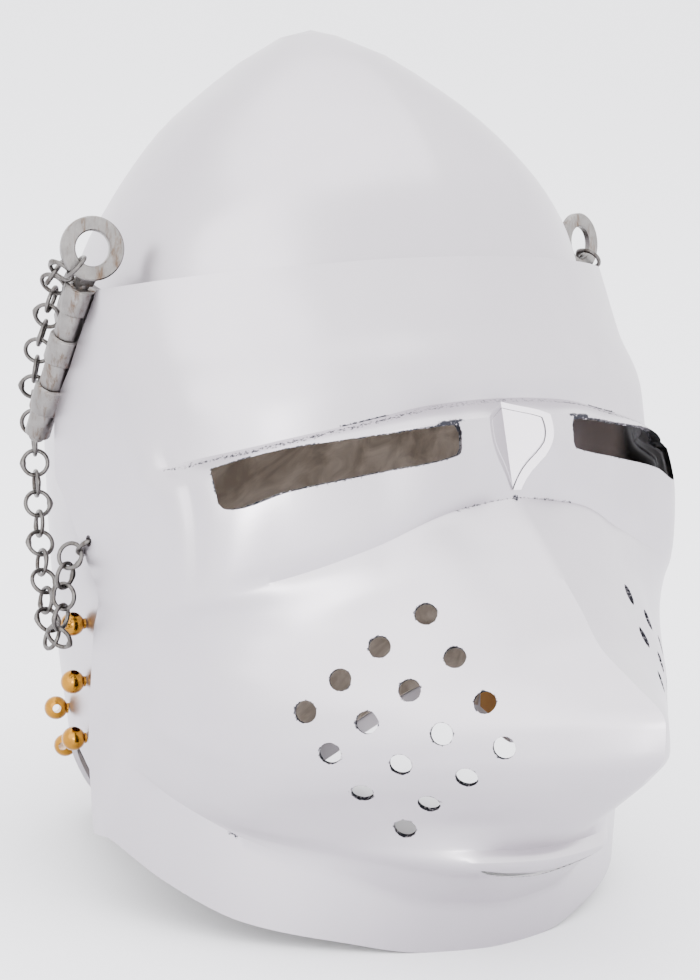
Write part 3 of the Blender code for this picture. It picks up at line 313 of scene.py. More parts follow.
def linear(hex_color):
    """An sRGB hex colour as linear RGBA."""
    parts = [int(hex_color[i:i + 2], 16) / 255 for i in (1, 3, 5)]
    return tuple(c / 12.92 if c <= 0.04045 else ((c + 0.055) / 1.055) ** 2.4 for c in parts) + (1,)


def add_node(tree, kind, settings=(), **sockets):
    """Add a node with its settings.

    A socket goes by its name, or by i0, i1... for its place, and takes a value or a link.
    """
    made = tree.nodes.new(kind)
    for name, value in settings:
        setattr(made, name, value)
    for name, value in sockets.items():
        place = int(name[1:]) if name[0] == "i" and name[1:].isdigit() else name.replace("_", " ")
        if isinstance(value, bpy.types.NodeSocket):
            tree.links.new(value, made.inputs[place])
        else:
            made.inputs[place].default_value = value
    return made


def per_mm(size):
    """Scale of a texture whose features are about that many millimetres across."""
    return 1000 / size


def new_material(name):
    """An empty Principled material, its tree, its shader and its object coordinates."""
    material = bpy.data.materials.new(name)
    material.use_nodes = True
    tree = material.node_tree
    coordinates = add_node(tree, "ShaderNodeTexCoord").outputs["Object"]
    return material, tree, tree.nodes["Principled BSDF"], coordinates


SPECK_MM = 1.1
# Dark of the scale attribute: forge scale at cut edges and folds, and painted shade at the breath holes' rims
# and partly along the brow fold.
SCALE_AND_SHADE_COLOR = "#34343a"
# Painted shade: the colour of the inside of the visor's front, standing in for the shade inside the helmet.
INSIDE_PAINTED_SHADE_COLOR = "#2e2e31"


def steel(name, light, dark, rough, rough_change, cloud_mm, line_mm, line_depth, marked=False):
    """Bare steel: cloudy in colour and sheen, with fine lines from polishing.

    marked adds dark where the attribute scale says, forge scale and painted shade both, and painted shade over
    the inside of the front.
    """
    material, tree, shader, place = new_material(name)
    cloud = add_node(tree, "ShaderNodeTexNoise", Vector=place, Scale=per_mm(cloud_mm), Detail=3.0,
                     Roughness=0.55)
    color = add_node(tree, "ShaderNodeMix", (("data_type", 'RGBA'),), i0=cloud.outputs["Fac"],
                     i6=linear(dark), i7=linear(light)).outputs[2]
    sheen = add_node(tree, "ShaderNodeMapRange", Value=cloud.outputs["Fac"], i1=0.3, i2=0.7,
                     i3=rough + rough_change, i4=rough).outputs[0]
    turned = add_node(tree, "ShaderNodeMapping", Vector=place, Rotation=(0.5, 0.3, 0.9), Scale=(1, 0.06, 1))
    lines = add_node(tree, "ShaderNodeTexNoise", Vector=turned.outputs[0], Scale=per_mm(line_mm), Detail=4.0)
    bump = add_node(tree, "ShaderNodeBump", Height=lines.outputs["Fac"], Strength=1.0, Distance=line_depth)
    if marked:
        # The scale attribute holds forge scale, and painted shade at the breath holes' rims and partly along the
        # brow fold.
        worn = add_node(tree, "ShaderNodeAttribute", (("attribute_name", "scale"),)).outputs["Fac"]
        speck = add_node(tree, "ShaderNodeTexNoise", Vector=place, Scale=per_mm(SPECK_MM), Detail=3.0,
                         Roughness=0.7)
        amount = add_node(tree, "ShaderNodeMath", (("operation", 'MULTIPLY'),), i0=worn,
                          i1=speck.outputs["Fac"])
        mask = add_node(tree, "ShaderNodeMapRange", Value=amount.outputs[0], i1=0.30, i2=0.40, i3=0.0, i4=1.0)
        color = add_node(tree, "ShaderNodeMix", (("data_type", 'RGBA'),), i0=mask.outputs[0], i6=color,
                         i7=linear(SCALE_AND_SHADE_COLOR)).outputs[2]
        sheen = add_node(tree, "ShaderNodeMix", i0=mask.outputs[0], i2=sheen, i3=0.6).outputs[0]
        # Painted shade: the inside of the visor's front is coloured dark for the shade inside the helmet.
        inner = add_node(tree, "ShaderNodeAttribute", (("attribute_name", "inside"),)).outputs["Fac"]
        front = add_node(tree, "ShaderNodeAttribute", (("attribute_name", "front"),)).outputs["Fac"]
        inside = add_node(tree, "ShaderNodeMath", (("operation", 'MULTIPLY'),), i0=inner, i1=front)
        color = add_node(tree, "ShaderNodeMix", (("data_type", 'RGBA'),), i0=inside.outputs[0], i6=color,
                         i7=linear(INSIDE_PAINTED_SHADE_COLOR)).outputs[2]
    tree.links.new(color, shader.inputs["Base Color"])
    tree.links.new(sheen, shader.inputs["Roughness"])
    tree.links.new(bump.outputs[0], shader.inputs["Normal"])
    shader.inputs["Metallic"].default_value = 1.0
    return material


# Mild steel plate, ground and polished to a satin sheen: near white, with soft reflections and faint cloudy
# patches. Dark scale stays in its folds and at its cut edges; the inside of its front, the breath holes' rims
# and part of the brow fold are darkened as painted shade.
satin_steel = steel("mild_steel_satin_polished", "#c3bec4", "#b6b1b7", rough=0.30, rough_change=0.10,
                    cloud_mm=55, line_mm=1.6, line_depth=0.000012, marked=True)


def place_piece(target, node, body, material, angle=35):
    """Finish a piece: material, smooth shading, its place as the helmet stands, its body and its CAD node."""
    target.data.materials.clear()
    target.data.materials.append(material)
    shade(target, angle)
    target.data.transform(STAND)
    target.data.update()
    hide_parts(node)
    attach(target, body)


skull = skull_sheet("skull_plate", 0.0, 0.0, SKULL_SEGMENTS, SKULL_ROWS, SKULL_WALL)
cut(skull, opening_cutter(0.0))
holes = bmesh.new()
for side in (1, -1):
    rod(holes, (side * SKULL_HALF_WIDTH * 0.8, PIVOT_BACK, PIVOT_LEVEL),
        (side * SKULL_HALF_WIDTH * 1.2, PIVOT_BACK, PIVOT_LEVEL), RIVET_RADIUS + GAP, 32)
cut(skull, new_object("pivot_holes", holes))
place_piece(skull, "skull", "skull_body", satin_steel, 32)

# Lining
# Cotton cloth quilted to a thin wadding, creased by wear. It is sewn to the leather strip, and shows through
# the eye slots.
LINER_PLY = 0.0018
LINING_GAP = 0.0009
LINER_SEGMENTS = 144
LINER_ROWS = 90
LEATHER_THICKNESS = 0.0018
LEATHER_WIDTH = 0.012
LEATHER_SETBACK = 0.001
LINER_HEM = 0.007
QUILT_CHANNELS = 18
QUILT_DEPTH = 0.0012
CREASE_DEPTH = 0.0050
CREASE_LENGTH = 0.030


def lining_push(turn, point):
    """How far the lining stands off the skull: puffed between its seams, and creased."""
    channel = abs(math.sin(turn * QUILT_CHANNELS / 2))
    crease = noise.noise(Vector((point.x, point.y, point.z * 0.45)) / CREASE_LENGTH)
    fine = noise.noise(point / (CREASE_LENGTH * 0.35)) * 0.4
    return QUILT_DEPTH * channel ** 0.5 + CREASE_DEPTH * max(0.0, crease + fine)


def cloth(name, light, dark, thread_mm):
    """Plain-woven cotton: a matt, slightly mottled ground with a fine weave."""
    material, tree, shader, place = new_material(name)
    slanted = add_node(tree, "ShaderNodeMapping", (("vector_type", 'TEXTURE'),), Vector=place,
                       Rotation=(0.3, 0.95, 0.2), Scale=(1, 1, 4))
    cloud = add_node(tree, "ShaderNodeTexNoise", Vector=slanted.outputs[0], Scale=per_mm(9), Detail=5.0,
                     Roughness=0.6, Distortion=0.6)
    worn_part = add_node(tree, "ShaderNodeMapRange", Value=cloud.outputs["Fac"], i1=0.36, i2=0.64)
    color = add_node(tree, "ShaderNodeMix", (("data_type", 'RGBA'),), i0=worn_part.outputs[0],
                     i6=linear(dark), i7=linear(light)).outputs[2]
    weave = []
    for direction in ('X', 'Z'):
        wave = add_node(tree, "ShaderNodeTexWave", (("bands_direction", direction),), Vector=place,
                        Scale=per_mm(thread_mm) / 20, Distortion=1.2, Detail=1.0)
        weave.append(wave.outputs["Fac"])
    threads = add_node(tree, "ShaderNodeMath", (("operation", 'ADD'),), i0=weave[0], i1=weave[1])
    bump = add_node(tree, "ShaderNodeBump", Height=threads.outputs[0], Strength=0.5, Distance=0.0002)
    tree.links.new(color, shader.inputs["Base Color"])
    tree.links.new(bump.outputs[0], shader.inputs["Normal"])
    shader.inputs["Roughness"].default_value = 0.92
    shader.inputs["Sheen Weight"].default_value = 0.15
    return material


# Unbleached cotton gone grey-brown: matt, warm grey. Its threads are drawn 1.2 mm apart, coarser than real, so
# that they show.
quilted_cotton = cloth("cotton_woven_quilted", "#ddd0c3", "#a89a8d", 1.2)

lining = skull_sheet("quilted_lining", SKULL_WALL + LINING_GAP, LINER_HEM, LINER_SEGMENTS, LINER_ROWS,
                     LINER_PLY, lining_push)
cut(lining, opening_cutter(LEATHER_SETBACK + LEATHER_WIDTH + GAP))
place_piece(lining, "liner", "skull_body", quilted_cotton, 60)

# Leather edge
# A strip of vegetable-tanned leather, 12 mm wide and 1.8 mm thick. It is sewn round the lining's front edge,
# where it shows past the skull's plate when the visor is up.

def leather(name, light, dark):
    """Smooth tanned leather: warm, half matt, with a fine pebbled grain."""
    material, tree, shader, place = new_material(name)
    cloud = add_node(tree, "ShaderNodeTexNoise", Vector=place, Scale=per_mm(9), Detail=4.0)
    color = add_node(tree, "ShaderNodeMix", (("data_type", 'RGBA'),), i0=cloud.outputs["Fac"],
                     i6=linear(dark), i7=linear(light)).outputs[2]
    grain = add_node(tree, "ShaderNodeTexVoronoi", Vector=place, Scale=per_mm(0.9))
    bump = add_node(tree, "ShaderNodeBump", Height=grain.outputs["Distance"], Strength=0.4, Distance=0.0001)
    tree.links.new(color, shader.inputs["Base Color"])
    tree.links.new(bump.outputs[0], shader.inputs["Normal"])
    shader.inputs["Roughness"].default_value = 0.5
    return material


# Vegetable-tanned cow leather, oiled: golden tan, soft sheen
tan_leather = leather("leather_vegetable_tanned", "#c68f4c", "#9a6429")

strip = skull_sheet("leather_strip", SKULL_WALL + LINING_GAP, LINER_HEM, SKULL_SEGMENTS, SKULL_ROWS,
                    LEATHER_THICKNESS)
cut(strip, opening_cutter(LEATHER_SETBACK))
cut(strip, opening_cutter(LEATHER_SETBACK + LEATHER_WIDTH), 'INTERSECT')
place_piece(strip, "liner_edge", "skull_body", tan_leather, 50)

# Visor
# One plate of 1.6 mm steel, hammered out to a pig's snout, with a boxed brow for the eye slots, a folded notch
# between the eyes, lips over a thin mouth slot and a border that flares to the neck. It is satin polished, with
# dark forge scale left in its folds and at the slots' edges; the breath holes' rims, the inside of its front and
# part of the brow fold are darkened as painted shade.
SIDE_STANDOFF = 0.0095
BROW_STANDOFF = 0.0035
SNOUT_LENGTH = 0.069
VISOR_DROP = 0.1555
VISOR_WALL = 0.0016
SLOT_INNER = 0.0235
SLOT_OUTER = 0.0970
BREATH_HOLE_RADIUS = 0.0037
BREATH_HOLE_SIDES = 36
BREATH_ROWS = 4
BREATH_COLUMNS = 4
BREATH_BULGE = 0.006
MOUTH_HALF_WIDTH = 0.0235
MOUTH_GAP = 0.0016
MOUTH_RISE = 0.0036
MOUTH_LEVEL = -0.824
NOTCH_TOP = 0.0264
NOTCH_HEIGHT = 0.0264
NOTCH_HALF_WIDTH = 0.0106
NOTCH_TOP_DEPTH = 0.0050
NOTCH_FOOT_DEPTH = 0.0008
NOTCH_SLOPE = 0.73
EYE_BOX_REACH = 1.2
BOX_GROOVE = 0.0013
BOX_GROOVE_PLACE = 0.765
BOX_GROOVE_WIDTH = 0.020
BOX_GROOVE_LEVEL = -0.004
BOX_GROOVE_HEIGHT = 0.020
ROOT_CREASE = 0.0022
ROOT_CREASE_HEIGHT = 0.0034
NOSE_BULGE = 0.0036
NOSE_BULGE_ACROSS = 0.011
NOSE_BULGE_LEVEL = 0.018
NOSE_BULGE_WIDTH = 0.008
NOSE_BULGE_HEIGHT = 0.011
BARREL_LENGTH = 0.061
BARREL_LEAN = math.radians(35)
BARREL_TOP_LEVEL = 0.0752
BARREL_TOP_BACK = -0.0035
EDGE_SETBACK = 0.0078
CHAIN_HOLE_RADIUS = 0.0020
CHAIN_HOLE_PLACE = (0.0006, -0.0117)
VISOR_ROWS_BETWEEN = 6
VISOR_GRID_COLUMNS = 70

# Sections from the band's top edge to the lower edge.
# mid, cheek, rear: level on the centre line, at the cheek and at the rear edge, shares of SKULL_HEIGHT above
# the eye line and of VISOR_DROP below it. y0 to y5: reach forward at six stations, shares of SKULL_FRONT.
# s0 to s3: what the snout adds, shares of SNOUT_LENGTH. edge: the rear edge, a share of SKULL_BACK.
# wide: half width, a share of the visor's. keel: how sharply the centre line is creased. fold: how sharply
# the plate is folded along this section.
VISOR_COLUMNS = ("mid", "cheek", "rear", "y0", "y1", "y2", "y3", "y4", "y5",
                 "s0", "s1", "s2", "s3", "edge", "wide", "keel", "fold")
VISOR_SECTIONS = (
    (0.475, 0.459, 0.441, 0.913, 0.895, 0.808, 0.623, 0.376, 0.164, 0, 0, 0, 0, 0, 0.985, 0, 0),
    (0.332, 0.317, 0.296, 1.038, 1.017, 0.924, 0.720, 0.461, 0.188, 0, 0, 0, 0, 0.05, 1, 0.1, 0),
    (0.230, 0.205, 0.181, 1.104, 1.100, 1.014, 0.838, 0.596, 0.286, 0, 0, 0, 0, 0.13, 1, 0.1, 0),
    (0.181, 0.112, 0.066, 1.083, 1.084, 1.020, 0.869, 0.620, 0.420, 0, 0, 0, 0, 0.17, 1, 0, 0.9),
    (0.145, 0.094, 0.021, 1.201, 1.221, 1.100, 0.942, 0.782, 0.529, 0, 0, 0, 0, 0.13, 1, 0, 0.5),
    (0.085, 0.018, -0.077, 1.207, 1.223, 1.118, 0.973, 0.821, 0.554, 0, 0, 0, 0, 0.057, 1, 0.1, 0),
    (-0.019, -0.161, -0.193, 1.187, 1.205, 1.112, 0.936, 0.791, 0.542, 0, 0, 0, 0, -0.03, 1, 0.6, 0.6),
    (-0.116, -0.225, -0.232, 1.221, 1.220, 1.105, 0.895, 0.730, 0.505, 0.15, 0.08, 0.03, 0.02, -0.02, 1, 1, 0),
    (-0.193, -0.277, -0.267, 1.223, 1.213, 1.095, 0.872, 0.693, 0.456, 0.30, 0.19, 0.10, 0.04, 0, 1, 1, 0),
    (-0.257, -0.328, -0.302, 1.217, 1.202, 1.085, 0.867, 0.669, 0.420, 0.43, 0.29, 0.17, 0.06, 0.01, 1, 1, 0),
    (-0.334, -0.386, -0.341, 1.218, 1.218, 1.093, 0.875, 0.657, 0.395, 0.56, 0.38, 0.24, 0.08, 0.02, 1, 1, 0),
    (-0.405, -0.444, -0.386, 1.219, 1.216, 1.102, 0.887, 0.644, 0.383, 0.79, 0.52, 0.28, 0.08, 0.03, 1, 1, 0),
    (-0.476, -0.502, -0.424, 1.230, 1.224, 1.106, 0.883, 0.620, 0.371, 0.98, 0.59, 0.29, 0.07, 0.04, 1, 0.8, 0),
    (-0.540, -0.553, -0.457, 1.235, 1.220, 1.094, 0.863, 0.596, 0.359, 0.96, 0.58, 0.26, 0.05, 0.045, 1, 0.5, 0),
    (-0.592, -0.598, -0.482, 1.205, 1.194, 1.051, 0.828, 0.547, 0.334, 0.85, 0.51, 0.21, 0.02, 0.05, 1, 0.4, 0),
    (-0.643, -0.640, -0.508, 1.211, 1.177, 1.022, 0.759, 0.498, 0.310, 0.64, 0.37, 0.10, 0, 0.055, 1, 0.3, 0),
    (-0.698, -0.672, -0.527, 1.176, 1.128, 0.977, 0.686, 0.461, 0.286, 0.45, 0.24, 0.03, 0, 0.06, 1, 0.2, 0),
    (-0.759, -0.691, -0.540, 1.130, 1.150, 0.923, 0.637, 0.437, 0.267, 0.20, 0.12, 0, 0, 0.06, 1, 0.1, 0.5),
    (-0.785, -0.699, -0.547, 1.127, 1.143, 0.892, 0.613, 0.425, 0.255, 0.24, 0.15, 0, 0, 0.06, 1, 0.1, 0),
    (-0.823, -0.707, -0.553, 1.100, 1.091, 0.843, 0.592, 0.413, 0.249, 0.12, 0.06, 0, 0, 0.06, 1, 0, 0),
    (-0.897, -0.717, -0.559, 0.982, 0.946, 0.801, 0.576, 0.400, 0.237, 0, 0, 0, 0, 0.06, 1, 0, 0.8),
    (-1.000, -0.900, -0.723, 0.896, 0.855, 0.734, 0.521, 0.266, 0.054, 0, 0, 0, 0, 0.045, 1.005, 0.1, 0),
)
STATION_SHARES = (0.0, 0.235, 0.49, 0.755, 0.925, 1.0, 0.985)
STATION_PLACES = (0, 2 / 14, 5 / 14, 8 / 14, 10 / 14, 12 / 14, 1)
FOLD_FADE = (1, 1, 1, 1, 0.8, 0.4, 0.2)
BROW_SECTION = 3
ROOT_SECTION = 6

# Eye slot. across: share of the way from its inner to its outer end. top, bottom: metres above the eye line.
SLOT_SECTIONS = (
    (0.000, 0.0205, 0.0150),
    (0.010, 0.0222, 0.0132),
    (0.035, 0.0228, 0.0124),
    (0.360, 0.0206, 0.0084),
    (0.750, 0.0172, 0.0034),
    (0.960, 0.0128, -0.0014),
    (0.985, 0.0120, -0.0010),
    (1.000, 0.0104, 0.0008),
)
# Corner holes of a cheek's diamond of breath holes, across and below the eye line
BREATH_CORNERS = {
    "upper_inner": (0.0420, -0.0385),
    "upper_outer": (0.0755, -0.0680),
    "lower_inner": (0.0330, -0.0805),
    "lower_outer": (0.0435, -0.1080),
}


def visor_half_width():
    """Half width of the visor at its rear edge."""
    return SKULL_HALF_WIDTH + SIDE_STANDOFF


def visor_level(share):
    """Height of a section level: a share of SKULL_HEIGHT above the eye line and of VISOR_DROP below it."""
    return share * (SKULL_HEIGHT if share > 0 else VISOR_DROP)


def visor_stations(row):
    """The seven stations of one visor section, from the centre to the rear edge, as x, y and z arrays."""
    r = dict(zip(VISOR_COLUMNS, row))
    mid, cheek, rear = (visor_level(r[n]) for n in ("mid", "cheek", "rear"))
    corners = [0, STATION_PLACES[3], STATION_PLACES[5], 1]
    z = smooth_curve(corners, [mid, cheek, rear, rear], STATION_PLACES, 0.0)
    reach = [r["y%d" % i] * SKULL_FRONT + BROW_STANDOFF * (1 - i / 6) for i in range(6)]
    snout = [r["s%d" % i] * SNOUT_LENGTH for i in range(4)] + [0, 0]
    edge = r["edge"] * SKULL_BACK
    if rear > BARREL_TOP_LEVEL - BARREL_LENGTH * math.cos(BARREL_LEAN):
        edge = BARREL_TOP_BACK + (BARREL_TOP_LEVEL - rear) * math.tan(BARREL_LEAN) - EDGE_SETBACK
    y = np.array([-(a + b) for a, b in zip(reach, snout)] + [edge])
    x = np.array(STATION_SHARES) * r["wide"] * visor_half_width()
    return x, y, z


def visor_grid(rows_between, columns):
    """Points of the visor's outer face: rows from the band to the lower edge, from right to left."""
    count = len(VISOR_SECTIONS)
    fold = column(VISOR_SECTIONS, VISOR_COLUMNS, "fold")
    stations = np.array([visor_stations(row) for row in VISOR_SECTIONS])
    knots = stations[:, 2, 0]
    at = np.arange(rows_between * (count - 1) + 1) / rows_between
    heights = np.interp(at, np.arange(count), knots)
    blended = np.empty((len(at), 3, len(STATION_PLACES)))
    for axis in range(3):
        for k, fade in enumerate(FOLD_FADE):
            blended[:, axis, k] = smooth_curve(-knots, stations[:, axis, k], -heights, fold=fold * fade)
    sharp = smooth_curve(-knots, column(VISOR_SECTIONS, VISOR_COLUMNS, "keel"), -heights)
    places = np.linspace(0, 1, columns + 1)
    root = smooth_curve(STATION_PLACES, stations[ROOT_SECTION, 2], places, 0.3)
    root_depth = ROOT_CREASE * np.clip(places / 0.08, 0, 1) * np.clip((0.80 - places) / 0.25, 0, 1)
    grid = []
    for (x, y, z), crease in zip(blended, sharp):
        half = np.stack([smooth_curve(STATION_PLACES, x, places),
                         smooth_curve(STATION_PLACES, y, places, crease),
                         smooth_curve(STATION_PLACES, z, places, 0.3)], 1)
        away = (half[:, 0] - NOSE_BULGE_ACROSS) / NOSE_BULGE_WIDTH
        up = (half[:, 2] - NOSE_BULGE_LEVEL) / NOSE_BULGE_HEIGHT
        half[:, 1] -= NOSE_BULGE * np.exp(-away ** 2 - up ** 2)
        away = (places - BOX_GROOVE_PLACE) / BOX_GROOVE_WIDTH
        up = (half[:, 2] - BOX_GROOVE_LEVEL) / BOX_GROOVE_HEIGHT
        half[:, 1] += root_depth * np.exp(-np.abs(half[:, 2] - root) / ROOT_CREASE_HEIGHT)
        half[:, 0] -= BOX_GROOVE * np.exp(-away ** 2 - up ** 4)
        half[:, 1] += BOX_GROOVE * np.exp(-away ** 2 - up ** 4)
        other = half[1:] * (-1, 1, 1)
        grid.append(np.concatenate([other[::-1], half]))
    return np.array(grid)


visor_points = visor_grid(VISOR_ROWS_BETWEEN, VISOR_GRID_COLUMNS)


def visor_place(x, z):
    """Point and outward normal of the visor's outer face where it is seen from the front at x and z."""
    flat = visor_points.reshape(-1, 3)
    near = np.argmin((flat[:, 0] - x) ** 2 + (flat[:, 2] - z) ** 2 + np.where(flat[:, 1] > -0.02, 1, 0))
    j, i = divmod(int(near), visor_points.shape[1])
    along = Vector(visor_points[j, i + 2] - visor_points[j, i - 2])
    down = Vector(visor_points[j + 2, i] - visor_points[j - 2, i])
    normal = down.cross(along).normalized()
    if normal.y > 0:
        normal = -normal
    point = Vector(visor_points[j, i])
    y = point.y - ((x - point.x) * normal.x + (z - point.z) * normal.z) / normal.y
    return Vector((x, y, z)), normal


def notch_reach(across, level):
    """Reach forward of the notch's two flat faces: they meet in a folded line on the centre line."""
    down = (NOTCH_TOP - level) / NOTCH_HEIGHT
    depth = NOTCH_TOP_DEPTH + (NOTCH_FOOT_DEPTH - NOTCH_TOP_DEPTH) * down
    return EYE_BOX_REACH * SKULL_FRONT + BROW_STANDOFF - depth + NOTCH_SLOPE * abs(across)


bm = bmesh.new()
grid_faces(bm, [[bm.verts.new(p) for p in row] for row in visor_points])
visor = new_object("visor_plate", bm)
if visor.data.polygons[len(visor.data.polygons) // 2].normal.y > 0:
    visor.data.flip_normals()
add_wall(visor, VISOR_WALL)

bm = bmesh.new()
rings = []
for z in (NOTCH_TOP - NOTCH_HEIGHT, NOTCH_TOP + NOTCH_HEIGHT * 0.15):
    reach = NOTCH_HALF_WIDTH * 1.4
    rings.append([bm.verts.new((x, -notch_reach(x, z), z)) for x in (-reach, 0, reach)])
grid_faces(bm, rings, closed=True)
bm.faces.new(rings[0])
bm.faces.new(rings[1])
cut(visor, new_object("notch_front", bm))

bm = bmesh.new()
sheets = []
for depth in (-GAP / 5, VISOR_WALL):
    grid = []
    for down in (-0.12, 1.02):
        z = NOTCH_TOP - down * NOTCH_HEIGHT
        row = []
        for share in (-1.25, 0, 1.25):
            x = share * NOTCH_HALF_WIDTH
            row.append(bm.verts.new((x, -notch_reach(x, z) + depth, z)))
        grid.append(row)
    grid_faces(bm, grid)
    sheets.append(grid[0] + grid[1][::-1])
grid_faces(bm, sheets, closed=True)
notch_back = new_object("notch_back", bm)

bm = bmesh.new()
patch = visor_points[2 * VISOR_ROWS_BETWEEN:9 * VISOR_ROWS_BETWEEN,
                     VISOR_GRID_COLUMNS - 18:VISOR_GRID_COLUMNS + 19]
near = [[bm.verts.new(Vector(p) + Vector((0, GAP, 0))) for p in row] for row in patch]
far = [[bm.verts.new((p[0], -SKULL_FRONT * 2, p[2])) for p in row] for row in patch]
grid_faces(bm, near)
grid_faces(bm, far)
for a, b in ((near[0], far[0]), (near[-1], far[-1]), ([r[0] for r in near], [r[0] for r in far]),
             ([r[-1] for r in near], [r[-1] for r in far])):
    grid_faces(bm, [a, b])
cut(notch_back, new_object("notch_room", bm))
cut(visor, notch_back, 'UNION')

span = SLOT_OUTER - SLOT_INNER
across = np.concatenate([np.linspace(0, 0.05, 12), np.linspace(0.08, 0.92, 22), np.linspace(0.94, 1, 12)])
shares = [row[0] for row in SLOT_SECTIONS]
slot_top = smooth_curve(shares, [row[1] for row in SLOT_SECTIONS], across)
slot_bottom = smooth_curve(shares, [row[2] for row in SLOT_SECTIONS], across)
bm = bmesh.new()
for side in (1, -1):
    upper = [(side * (SLOT_INNER + span * a), z) for a, z in zip(across, slot_top)]
    lower = [(side * (SLOT_INNER + span * a), z) for a, z in zip(across, slot_bottom)]
    prism(bm, [(x, -1.7 * SKULL_FRONT, z) for x, z in upper + lower[::-1]], (0, 1.15 * SKULL_FRONT, 0))
cut(visor, new_object("eye_slots", bm))

corners = {name: np.array(at) for name, at in BREATH_CORNERS.items()}
bm = bmesh.new()
for i in range(BREATH_ROWS):
    down = i / (BREATH_ROWS - 1)
    inner = corners["upper_inner"] * (1 - down) + corners["lower_inner"] * down
    outer = corners["upper_outer"] * (1 - down) + corners["lower_outer"] * down
    for k in range(BREATH_COLUMNS):
        out = k / (BREATH_COLUMNS - 1)
        x, z = inner * (1 - out) + outer * out
        x += BREATH_BULGE * 4 * down * (1 - down) * out + BREATH_BULGE * 2 * out * (1 - out)
        point, normal = visor_place(x, z)
        for side in (1, -1):
            turned = Vector((side * normal.x, normal.y, normal.z))
            centre = Vector((side * point.x, point.y, point.z))
            reach = turned * VISOR_WALL * 3
            rod(bm, centre - reach, centre + reach, BREATH_HOLE_RADIUS, BREATH_HOLE_SIDES)
cut(visor, new_object("breath_holes", bm))

middle = MOUTH_LEVEL * VISOR_DROP
upper, lower = [], []
for k in range(33):
    share = -1 + k / 16
    z = middle + MOUTH_RISE * share ** 2
    half = MOUTH_GAP / 2 * (1 - 0.75 * abs(share) ** 3)
    upper.append((share * MOUTH_HALF_WIDTH, z + half))
    lower.append((share * MOUTH_HALF_WIDTH, z - half))
bm = bmesh.new()
prism(bm, [(x, -2.2 * SKULL_FRONT, z) for x, z in upper + lower[::-1]], (0, 1.4 * SKULL_FRONT, 0))
cut(visor, new_object("mouth_slot", bm))

flat = visor_points.reshape(-1, 3)
flat = flat[flat[:, 0] > 0]
hole_y, hole_z = CHAIN_HOLE_PLACE
hole_x = float(flat[np.argmin((flat[:, 1] - hole_y) ** 2 + (flat[:, 2] - hole_z) ** 2), 0])
bm = bmesh.new()
for side in (1, -1):
    rod(bm, (side * (hole_x - 0.006), hole_y, hole_z), (side * (hole_x + 0.006), hole_y, hole_z),
        CHAIN_HOLE_RADIUS, 24)
cut(visor, new_object("chain_holes", bm))


def burr(bm, outline, thickness, seed):
    """A ragged raised edge along a line on the visor's outer face, as a punch or file leaves it."""
    path = [visor_place(x, z) for x, z in outline]
    rings = []
    for k, (point, normal) in enumerate(path):
        ahead = path[min(k + 1, len(path) - 1)][0] - path[max(k - 1, 0)][0]
        side = ahead.normalized().cross(normal)
        ragged = max(0.1, 0.75 + 1.1 * noise.noise(point * 900 + Vector((seed, 0, 0))))
        ring = []
        for w in range(6):
            turn = 2 * math.pi * w / 6
            ring.append(bm.verts.new(point + (side * math.cos(turn) + normal * math.sin(turn) * 0.6)
                                     * thickness * (0.7 + abs(point.x) / SLOT_OUTER) * ragged))
        rings.append(ring)
    grid_faces(bm, rings, closed=True)
    bm.faces.new(rings[0])
    bm.faces.new(rings[-1])


BURR_THICKNESS = 0.00040
# Painted shade inside the visor's front starts this far forward and fades in over the next length.
INSIDE_SHADE_REAR = 0.030
INSIDE_SHADE_FADE = 0.006
fine = np.linspace(0, 1, 150)
bm = bmesh.new()
bm.from_mesh(visor.data)
whole = len(bm.verts)
for side in (1, -1):
    for names, thickness in ((slot_top, BURR_THICKNESS), (slot_bottom, BURR_THICKNESS * 0.45)):
        levels = np.interp(fine, across, names)
        strip_mesh = bmesh.new()
        burr(strip_mesh, [(SLOT_INNER + span * a, z) for a, z in zip(fine, levels)], thickness, side)
        bmesh.ops.scale(strip_mesh, vec=(side, 1, 1), verts=strip_mesh.verts)
        bmesh.ops.recalc_face_normals(strip_mesh, faces=strip_mesh.faces)
        part = bpy.data.meshes.new("burr")
        strip_mesh.to_mesh(part)
        strip_mesh.free()
        bm.from_mesh(part)
burr_from = whole
bm.to_mesh(visor.data)
bm.free()


